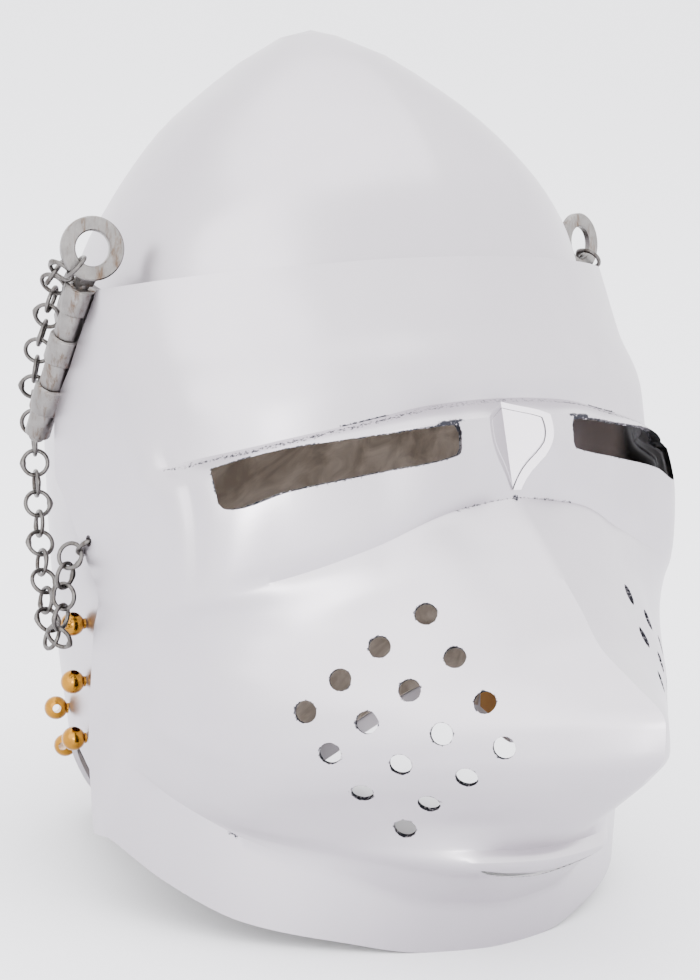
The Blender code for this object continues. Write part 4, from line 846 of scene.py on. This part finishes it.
def mark_scale_and_shade(target):
    """Write the attributes that say where it is painted dark: forge scale at cut edges and in two folds, and
    painted shade at the breath holes' rims, partly along the brow fold and inside the front.
    """
    mesh = target.data
    bm = bmesh.new()
    bm.from_mesh(mesh)
    points = np.array([v.co for v in bm.verts])
    sharp = np.zeros(len(bm.verts))
    for edge in bm.edges:
        if len(edge.link_faces) == 2 and edge.calc_face_angle(0) > math.radians(50):
            for vertex in edge.verts:
                sharp[vertex.index] = 1
    bm.free()
    x, y, z = np.abs(points[:, 0]), points[:, 1], points[:, 2]
    in_slot = (x > SLOT_INNER - 0.003) & (x < SLOT_OUTER + 0.003) & (z > -0.006) & (z < 0.027) & (y < -0.02)
    in_mouth = (x < MOUTH_HALF_WIDTH + 0.002) & (np.abs(z - middle) < 0.008)
    in_holes = (x > 0.028) & (x < 0.084) & (z < -0.033) & (z > -0.114) & (y < -0.03)
    upper = z > np.interp((x - SLOT_INNER) / span, [0, 0.36, 0.75, 1], [0.017, 0.0145, 0.0103, 0.004])
    # Painted shade: the breath holes' rims are darkened like scale, standing in for the shade on their walls.
    at_cuts = np.where(in_slot & upper, 0.95, np.where(in_slot, 0.62, np.where(in_mouth | in_holes, 0.8, 0.0)))
    amount = sharp * at_cuts
    # Dark specks along the brow fold are partly forge scale and partly painted shade under the brow; those along
    # the root fold are scale.
    for section, depth, reach in ((BROW_SECTION, 0.0011, 0.103), (ROOT_SECTION, 0.0010, 0.026)):
        row = visor_points[section * VISOR_ROWS_BETWEEN]
        row = row[row[:, 0] >= 0]
        off = z - np.interp(x, row[:, 0], row[:, 2])
        front = (y < -0.01) & (x < reach)
        amount = np.maximum(amount, np.where(front, 0.72 * np.exp(-(off / depth) ** 2), 0))
    root = visor_points[ROOT_SECTION * VISOR_ROWS_BETWEEN, VISOR_GRID_COLUMNS]
    away = np.sqrt((points[:, 0] - root[0]) ** 2 + (z - root[2]) ** 2)
    amount = np.maximum(amount, np.where(y < -0.08, 0.9 * np.exp(-(away / 0.0022) ** 2), 0))
    amount[burr_from:] = 0.85
    attribute = mesh.attributes.new("scale", 'FLOAT', 'POINT')
    attribute.data.foreach_set("value", amount.astype(np.float32))
    # Painted shade: inside and front mark the inside of the visor's front, which is coloured dark for the shade
    # inside the helmet.
    attribute = mesh.attributes.new("inside", 'FLOAT', 'FACE')
    for polygon, value in zip(mesh.polygons, attribute.data):
        outward = Vector((polygon.center.x, polygon.center.y - OPENING_BACK * 2, 0)).normalized()
        value.value = 1.0 if polygon.normal.dot(outward) < -0.15 else 0.0
    attribute = mesh.attributes.new("front", 'FLOAT', 'POINT')
    attribute.data.foreach_set("value", np.clip((-INSIDE_SHADE_REAR - y) / INSIDE_SHADE_FADE, 0, 1).astype(np.float32))


mark_scale_and_shade(visor)
notch_faces = []
for polygon in visor.data.polygons:
    x, y, z = polygon.center
    in_notch = abs(x) < NOTCH_HALF_WIDTH * 1.3 and NOTCH_TOP - NOTCH_HEIGHT < z < NOTCH_TOP * 1.1
    if in_notch and abs(y + notch_reach(x, z)) < GAP / 3:
        notch_faces.append(polygon.index)
place_piece(visor, "visor", "visor_body", satin_steel, 32)
for index in notch_faces:
    visor.data.polygons[index].use_smooth = False

# Hinges
# The visor's leaf is bent from 1.2 mm strip and the side arm from 2 mm, and their knuckles interleave on a pin.
# The steel is duller than the plates: filed, scratched and stained brown.
BARREL_OFFSET = 0.0024
KNUCKLES = 6
WIDE_KNUCKLE_RADIUS = 0.0055
NARROW_KNUCKLE_RADIUS = 0.0044
KNUCKLE_GAP = 0.0004
ARM_THICKNESS = 0.002
ARM_END_RADIUS = 0.008
ARM_STANDOFF = 0.0006
KNUCKLE_SIDES = 40
KNUCKLE_BEVEL = 0.0004
KNUCKLE_SKIN = 0.00012
PIN_RADIUS = 0.0026

down = Vector((0, math.sin(BARREL_LEAN), -math.cos(BARREL_LEAN)))
rear = Vector((0, math.cos(BARREL_LEAN), math.sin(BARREL_LEAN)))
barrel_x = visor_half_width() * STATION_SHARES[-1] + BARREL_OFFSET
barrel_top = Vector((barrel_x, BARREL_TOP_BACK, BARREL_TOP_LEVEL))


def worn(name, light, dark, stain, rough):
    """Filed steel with scratches across and brown stains along the strip."""
    material, tree, shader, place = new_material(name)
    cloud = add_node(tree, "ShaderNodeTexNoise", Vector=place, Scale=per_mm(5), Detail=5.0, Roughness=0.7)
    color = add_node(tree, "ShaderNodeMix", (("data_type", 'RGBA'),), i0=cloud.outputs["Fac"],
                     i6=linear(dark), i7=linear(light)).outputs[2]
    turned = add_node(tree, "ShaderNodeMapping", Vector=place, Rotation=(BARREL_LEAN, 0, 0),
                      Scale=(1, 1, 0.12))
    streak = add_node(tree, "ShaderNodeTexNoise", Vector=turned.outputs[0], Scale=per_mm(2.2), Detail=4.0,
                      Roughness=0.7)
    amount = add_node(tree, "ShaderNodeMapRange", Value=streak.outputs["Fac"], i1=0.50, i2=0.68, i3=0.0,
                      i4=0.85)
    color = add_node(tree, "ShaderNodeMix", (("data_type", 'RGBA'),), i0=amount.outputs[0], i6=color,
                     i7=linear(stain)).outputs[2]
    scratch = add_node(tree, "ShaderNodeTexNoise", Vector=turned.outputs[0], Scale=per_mm(0.8), Detail=5.0)
    bump = add_node(tree, "ShaderNodeBump", Height=scratch.outputs["Fac"], Strength=0.8, Distance=0.00012)
    tree.links.new(color, shader.inputs["Base Color"])
    tree.links.new(bump.outputs[0], shader.inputs["Normal"])
    shader.inputs["Metallic"].default_value = 1.0
    shader.inputs["Roughness"].default_value = rough
    return material


# Mild steel strip, filed and left bare: mid grey with soft glints, brown where oil and rust have dried
worn_steel = worn("mild_steel_filed_stained", "#8f8c8a", "#5c5957", "#54402f", 0.38)


def mirrored(target, name):
    """A copy of a piece on the other side of the helmet."""
    bm = bmesh.new()
    bm.from_mesh(target.data)
    bmesh.ops.scale(bm, vec=(-1, 1, 1), verts=bm.verts)
    return new_object(name, bm)


def place_pair(target, node, body, material, angle=35):
    """Finish a left piece and its mirrored right one."""
    other = mirrored(target, target.name.replace("_left", "_right"))
    place_piece(target, node + "_left", body, material, angle)
    place_piece(other, node + "_right", body, material, angle)


def turned_piece(bm, centre, axis, profile, sides, closed=False):
    """A turned shape, spun from a list of (distance along the axis, radius).

    The profile is closed in itself, or else the shape gets flat ends.
    """
    axis = Vector(axis).normalized()
    spoke = axis.orthogonal().normalized()
    line = [bm.verts.new(centre + axis * distance + spoke * radius) for distance, radius in profile]
    edges = [bm.edges.new(pair) for pair in zip(line, line[1:])]
    if closed:
        edges.append(bm.edges.new((line[-1], line[0])))
    bmesh.ops.spin(bm, geom=line + edges, cent=centre, axis=axis, angle=2 * math.pi, steps=sides,
                   use_merge=True)
    if not closed:
        bmesh.ops.holes_fill(bm, edges=[edge for edge in bm.edges if edge.is_boundary], sides=sides)


def knuckles(bm, first, radius):
    """Every second knuckle, round and with eased ends."""
    height = BARREL_LENGTH / KNUCKLES
    ease = KNUCKLE_BEVEL
    round_in = ease * 0.3
    skin = radius + KNUCKLE_SKIN
    for index in range(first, KNUCKLES, 2):
        low, high = index * height + KNUCKLE_GAP / 2, (index + 1) * height - KNUCKLE_GAP / 2
        profile = [(low, PIN_RADIUS + GAP), (low, skin - ease), (low + round_in, skin - round_in),
                   (low + ease, skin), (high - ease, skin), (high - round_in, skin - round_in),
                   (high, skin - ease), (high, PIN_RADIUS + GAP)]
        turned_piece(bm, barrel_top, down, profile, KNUCKLE_SIDES, closed=True)


def helmet_copy(node):
    """The mesh of a CAD node, merged, in the helmet's upright frame."""
    bm = bmesh.new()
    bm.from_mesh(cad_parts[node].data)
    bmesh.ops.remove_doubles(bm, verts=bm.verts, dist=GAP / 30)
    bmesh.ops.transform(bm, matrix=STAND.inverted(), verts=bm.verts)
    return bm


bm = helmet_copy("visor_hinge_left")
knuckles(bm, 0, WIDE_KNUCKLE_RADIUS)
place_pair(new_object("visor_hinge_leaf_left", bm), "visor_hinge", "visor_body", worn_steel, 40)

bm = helmet_copy("side_arm_left")
knuckles(bm, 1, NARROW_KNUCKLE_RADIUS)
place_pair(new_object("side_arm_strap_left", bm), "side_arm", "visor_body", worn_steel, 40)

# Hinge pins
# A round rod with a 22 mm washer welded on as its head, so that a gloved hand can pull it. Same filed steel.
PIN_END = 0.0022
PIN_TOP = 0.0045
RING_RADIUS = 0.011
RING_HOLE_RADIUS = 0.006
RING_THICKNESS = 0.003
RING_TURN = math.radians(16)
RING_RISE = 0.0145
RING_BEVEL = 0.0005
RING_SIDES = 64
PIN_SIDES = 28
LUG_WIDTH = 0.006
LUG_DEPTH = 0.0048
LUG_FOOT_WIDTH = 0.0054
LUG_SEAT = 0.0014
LUG_LIFT = 0.0007

ring_out = Vector((math.cos(RING_TURN), math.sin(RING_TURN), 0))
ring_front = Vector((math.sin(RING_TURN), -math.cos(RING_TURN), 0))
ring_centre = barrel_top - down * RING_RISE
lug_drop = Vector((0, 0, RING_HOLE_RADIUS + LUG_SEAT))
half, ease = RING_THICKNESS / 2, RING_BEVEL
bm = bmesh.new()
washer = [(-half + ease, RING_RADIUS), (half - ease, RING_RADIUS), (half, RING_RADIUS - ease)]
washer += [(half, RING_HOLE_RADIUS + ease), (half - ease, RING_HOLE_RADIUS), (-half + ease, RING_HOLE_RADIUS)]
washer += [(-half, RING_HOLE_RADIUS + ease), (-half, RING_RADIUS - ease)]
turned_piece(bm, ring_centre, ring_front, washer, RING_SIDES, closed=True)
tip = BARREL_LENGTH + PIN_END
turned_piece(bm, barrel_top, down, [(-PIN_TOP, PIN_RADIUS), (tip - ease, PIN_RADIUS), (tip, PIN_RADIUS - ease)],
             PIN_SIDES)
ends = []
for middle_point, width, depth, ahead in (
        (barrel_top - down * LUG_LIFT, LUG_FOOT_WIDTH, LUG_DEPTH, rear),
        (ring_centre - lug_drop, LUG_WIDTH, RING_THICKNESS * 0.9, -ring_front)):
    ends.append([bm.verts.new(middle_point + ring_out * (a * width / 2) + ahead * (b * depth / 2))
                 for a, b in ((-1, -1), (1, -1), (1, 1), (-1, 1))])
grid_faces(bm, ends, closed=True)
bm.faces.new(ends[0])
bm.faces.new(ends[1])
place_pair(new_object("hinge_pin_ring_left", bm), "hinge_pin", "visor_body", worn_steel, 40)

# Pivot rivets
# Steel rivets with a low domed head, peened over inside the skull: the side arms turn on them.
RIVET_HEAD_RADIUS = 0.0052
RIVET_HEAD_HEIGHT = 0.0022
pad_x = ARM_STANDOFF + max(
    skull_side(PIVOT_BACK + a * ARM_END_RADIUS, PIVOT_LEVEL + b * ARM_END_RADIUS)
    for a, b in ((-1, 0), (1, 0), (0, -1), (0, 1), (-0.7, -0.7), (0.7, -0.7), (-0.7, 0.7)))
head = pad_x + ARM_THICKNESS + GAP
profile = [(skull_side(PIVOT_BACK, PIVOT_LEVEL) - SKULL_WALL * 0.7, RIVET_RADIUS), (head, RIVET_RADIUS),
           (head, RIVET_HEAD_RADIUS)]
profile += [(head + RIVET_HEAD_HEIGHT * math.sin(a), RIVET_HEAD_RADIUS * math.cos(a) ** 0.8)
            for a in np.radians([15, 30, 45, 60, 75, 85])]
bm = bmesh.new()
turned_piece(bm, Vector((0, PIVOT_BACK, PIVOT_LEVEL)), (1, 0, 0), profile, 40)
place_pair(new_object("pivot_rivet_head_left", bm), "pivot_rivet", "skull_body", worn_steel, 40)

# Pin chains
# Round mail rings of 1.6 mm iron wire, blackened with oil, riveted where their ends lap and linked one into the
# next. Each chain hangs from its pin's ring to the small hole at the visor's rear edge, so that a pulled pin
# isn't lost.
CHAIN_PITCH = 0.0072
CHAIN_WIRE_RADIUS = 0.00078
RIVET_LAP = 0.55
RIVET_LAP_REACH = 0.30
LINK_SIDES = 28
WIRE_SIDES = 8
EDGE_DIRECTION = Vector((0, 0.84, -0.54)).normalized()
CHAIN_ROUTE = (
    (0.1128, -0.0055, 0.0800),
    (0.1122, 0.0012, 0.0806),
    (0.1098, 0.0070, 0.0783),
    (0.1074, 0.0125, 0.0735),
    (0.1062, 0.0180, 0.0672),
    (0.1058, 0.0262, 0.0565),
    (0.1045, 0.0330, 0.0445),
    (0.1022, 0.0390, 0.0350),
    (0.1005, 0.0418, 0.0270),
    (0.1005, 0.0425, 0.0120),
    (0.1015, 0.0400, -0.0030),
    (0.1040, 0.0350, -0.0180),
    (0.1065, 0.0290, -0.0310),
    (0.1085, 0.0235, -0.0430),
    (0.1100, 0.0165, -0.0470),
    (0.1105, 0.0125, -0.0400),
    (0.1095, 0.0110, -0.0300),
    (0.1090, 0.0100, -0.0225),
    (0.1077, 0.0076, -0.0162),
)
# Iron mail wire, oiled black: dark grey with small sharp glints
oiled_iron = worn("iron_wire_oiled", "#757270", "#423f3d", "#352e28", 0.34)


def chain_points():
    """Centre of each link along the route, evenly spaced, and their spacing."""
    rim = (RING_RADIUS + RING_HOLE_RADIUS) / 2
    first = ring_centre + (ring_out - Vector((0, 0, 1))) * (rim / math.sqrt(2))
    last = Vector((hole_x - VISOR_WALL / 2, hole_y, hole_z))
    last += EDGE_DIRECTION * (CHAIN_PITCH / 2 + CHAIN_WIRE_RADIUS)
    route = [first] + [Vector(p) for p in CHAIN_ROUTE] + [last]
    places = np.concatenate([[0], np.cumsum([(b - a).length for a, b in zip(route, route[1:])])])
    fine = np.linspace(0, places[-1], 1200)
    curve = np.stack([smooth_curve(places, [p[axis] for p in route], fine) for axis in range(3)], 1)

    def walk(step):
        """Centres at equal straight steps along the curve, and how far the last is from its end."""
        found, at = [curve[0]], 0
        while True:
            reach = np.linalg.norm(curve[at:] - found[-1], axis=1)
            ahead = np.nonzero(reach >= step)[0]
            if not len(ahead):
                return found, float(np.linalg.norm(curve[-1] - found[-1]))
            part = (step - reach[ahead[0] - 1]) / (reach[ahead[0]] - reach[ahead[0] - 1])
            at += int(ahead[0])
            found.append(curve[at - 1] + (curve[at] - curve[at - 1]) * part)

    count = len(walk(CHAIN_PITCH)[0])
    low, high = CHAIN_PITCH * 0.9, CHAIN_PITCH * 1.1
    for _ in range(40):
        step = (low + high) / 2
        if len(walk(step)[0]) >= count:
            low = step
        else:
            high = step
    return [Vector(p) for p in walk(low)[0][:count]], low


def link(bm, centre, along, normal, radius):
    """One ring of the chain, its wire thicker where its ends lap and are riveted."""
    side = normal.cross(along).normalized()
    rings = []
    for k in range(LINK_SIDES):
        angle = 2 * math.pi * k / LINK_SIDES
        spoke = along * math.cos(angle) + side * math.sin(angle)
        lap = RIVET_LAP * math.exp(-((angle - math.pi / 2) / RIVET_LAP_REACH) ** 2)
        ring = []
        for w in range(WIRE_SIDES):
            turn = 2 * math.pi * w / WIRE_SIDES
            out = radius + CHAIN_WIRE_RADIUS * (1 + lap) * math.cos(turn)
            up = CHAIN_WIRE_RADIUS * (1 + lap / 2) * math.sin(turn)
            ring.append(bm.verts.new(centre + spoke * out + normal * up))
        rings.append(ring)
    grid_faces(bm, rings + [rings[0]], closed=True)


centres, step = chain_points()
count = len(centres)
ways = [(centres[min(k + 1, count - 1)] - centres[max(k - 1, 0)]).normalized() for k in range(count)]
carried = [(ring_out + Vector((0, 0, 1))).normalized()]
for way in ways[1:]:
    carried.append((carried[-1] - way * carried[-1].dot(way)).normalized())
wanted = Vector((1, 0, 0)).cross(EDGE_DIRECTION).normalized()
wanted = (wanted - ways[-1] * wanted.dot(ways[-1])).normalized()
turned = Matrix.Rotation(math.pi / 2 * (count - 1), 3, ways[-1]) @ carried[-1]
twist = math.atan2(turned.cross(wanted).dot(ways[-1]), turned.dot(wanted))
twist = (twist + math.pi / 2) % math.pi - math.pi / 2
bm = bmesh.new()
for k in range(count):
    normal = Matrix.Rotation(k * math.pi / 2 + twist * k / (count - 1), 3, ways[k]) @ carried[k]
    along = (ways[k] - normal * ways[k].dot(normal)).normalized()
    link(bm, centres[k], along, normal, step / 2 + CHAIN_WIRE_RADIUS)
place_pair(new_object("pin_chain_links_left", bm), "pin_chain", "visor_body", oiled_iron, 60)

# Vervelles
# Turned brass studs, drilled across for the lace of a mail curtain and riveted through the skull on a short
# shank: three at each cheek and seven round the nape.
VERVELLE_RADIUS = 0.0042
VERVELLE_STANDOFF = 0.0045
VERVELLE_HOLE_RADIUS = 0.0015
VERVELLE_SHANK_RADIUS = 0.0019
CHEEK_HOLE_WAY = Vector((0, -0.5, 0.87))
CHEEK_VERVELLES = 6
NAPE_VERVELLES = 7


def brass(name, light, dark):
    """Turned and buffed brass: warm, bright reflections, slightly tarnished."""
    material, tree, shader, place = new_material(name)
    cloud = add_node(tree, "ShaderNodeTexNoise", Vector=place, Scale=per_mm(2.5), Detail=4.0)
    color = add_node(tree, "ShaderNodeMix", (("data_type", 'RGBA'),), i0=cloud.outputs["Fac"],
                     i6=linear(dark), i7=linear(light)).outputs[2]
    tree.links.new(color, shader.inputs["Base Color"])
    shader.inputs["Metallic"].default_value = 1.0
    shader.inputs["Roughness"].default_value = 0.22
    return material


# Yellow brass, turned and buffed: golden, with a darker bloom
yellow_brass = brass("brass_turned_buffed", "#b07d2a", "#855a19")


def stud(name):
    """A finer stud in the place of a CAD one, which gives its centre, shank and hole direction."""
    low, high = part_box(name)
    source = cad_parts[name].data
    points = np.array([v.co for v in source.vertices])
    centre = Vector((low + high) / 2)
    inward = Vector((-centre.x, HELMET_PLACE[1] - centre.y, 0)).normalized()
    shank_end = Vector(points[np.argmax(points @ np.array(inward))])
    ball = points[np.argsort(points @ np.array(inward))[:len(points) // 2]]
    return centre, inward, shank_end, ball


def build_stud(name):
    """One brass stud: a ball on its shank, drilled across for the lace."""
    centre, inward, shank_end, ball = stud(name)
    out = (STAND.to_3x3().inverted() @ -inward).normalized()
    upright = STAND.inverted() @ shank_end
    middle_point = upright + out * VERVELLE_STANDOFF
    hole_way = CHEEK_HOLE_WAY if name.startswith("cheek") else Vector((0, 0, 1)).cross(out).normalized()
    bm = bmesh.new()
    profile = [(-VERVELLE_STANDOFF, VERVELLE_SHANK_RADIUS), (-VERVELLE_RADIUS * 0.9, VERVELLE_SHANK_RADIUS)]
    for k in range(1, 18):
        angle = math.pi * (0.12 + 0.88 * k / 18)
        profile.append((-VERVELLE_RADIUS * math.cos(angle), VERVELLE_RADIUS * math.sin(angle)))
    turned_piece(bm, middle_point, out, profile, 28)
    made = new_object(name + "_stud", bm)
    hole = bmesh.new()
    reach = hole_way * VERVELLE_RADIUS * 1.6
    rod(hole, middle_point - reach, middle_point + reach, VERVELLE_HOLE_RADIUS, 20)
    cut(made, new_object("hole", hole))
    place_piece(made, name, "skull_body", yellow_brass, 50)


for k in range(CHEEK_VERVELLES):
    build_stud("cheek_vervelle_%d" % (k + 1))
for k in range(NAPE_VERVELLES):
    build_stud("nape_vervelle_%d" % (k + 1))

# Floor, light and camera
# A plain white floor under soft, even studio light, and the camera where the photograph was taken from.
CAMERA_PLACE = (-0.65285, -0.8827, 0.37187)
CAMERA_TURN = (78.0523, -4.5996, -34.8548)
CAMERA_LENS = 117.035

bm = bmesh.new()
bmesh.ops.create_grid(bm, x_segments=1, y_segments=1, size=12)
floor = new_object("floor", bm)
material, tree, shader, place = new_material("paper_white_matt")
shader.inputs["Base Color"].default_value = linear("#ededf0")
shader.inputs["Roughness"].default_value = 0.9
floor.data.materials.append(material)

world = bpy.data.worlds.new("studio")
bpy.context.scene.world = world
world.use_nodes = True
world.node_tree.nodes["Background"].inputs["Color"].default_value = linear("#f2f2f4")
world.node_tree.nodes["Background"].inputs["Strength"].default_value = 4.0

LAMPS = (
    ("key", (-1.6, -0.9, 1.4), 2.6, 30),
    ("top", (0.2, 0.2, 2.4), 3.0, 30),
    ("front", (-0.9, -1.3, 0.42), 0.5, 9),
)
for name, place, size, power in LAMPS:
    light = bpy.data.lights.new(name, 'AREA')
    light.shape = 'DISK'
    light.size = size
    light.energy = power
    lamp = bpy.data.objects.new(name, light)
    bpy.context.scene.collection.objects.link(lamp)
    lamp.location = place
    aim = Vector((0, 0, 0.12)) - Vector(place)
    lamp.rotation_euler = aim.to_track_quat('-Z', 'Y').to_euler()

data = bpy.data.cameras.new("camera")
data.lens = CAMERA_LENS
data.sensor_width = 36
data.clip_start = 0.05
camera = bpy.data.objects.new("camera", data)
bpy.context.scene.collection.objects.link(camera)
camera.location = CAMERA_PLACE
camera.rotation_euler = [math.radians(a) for a in CAMERA_TURN]
bpy.context.scene.camera = camera
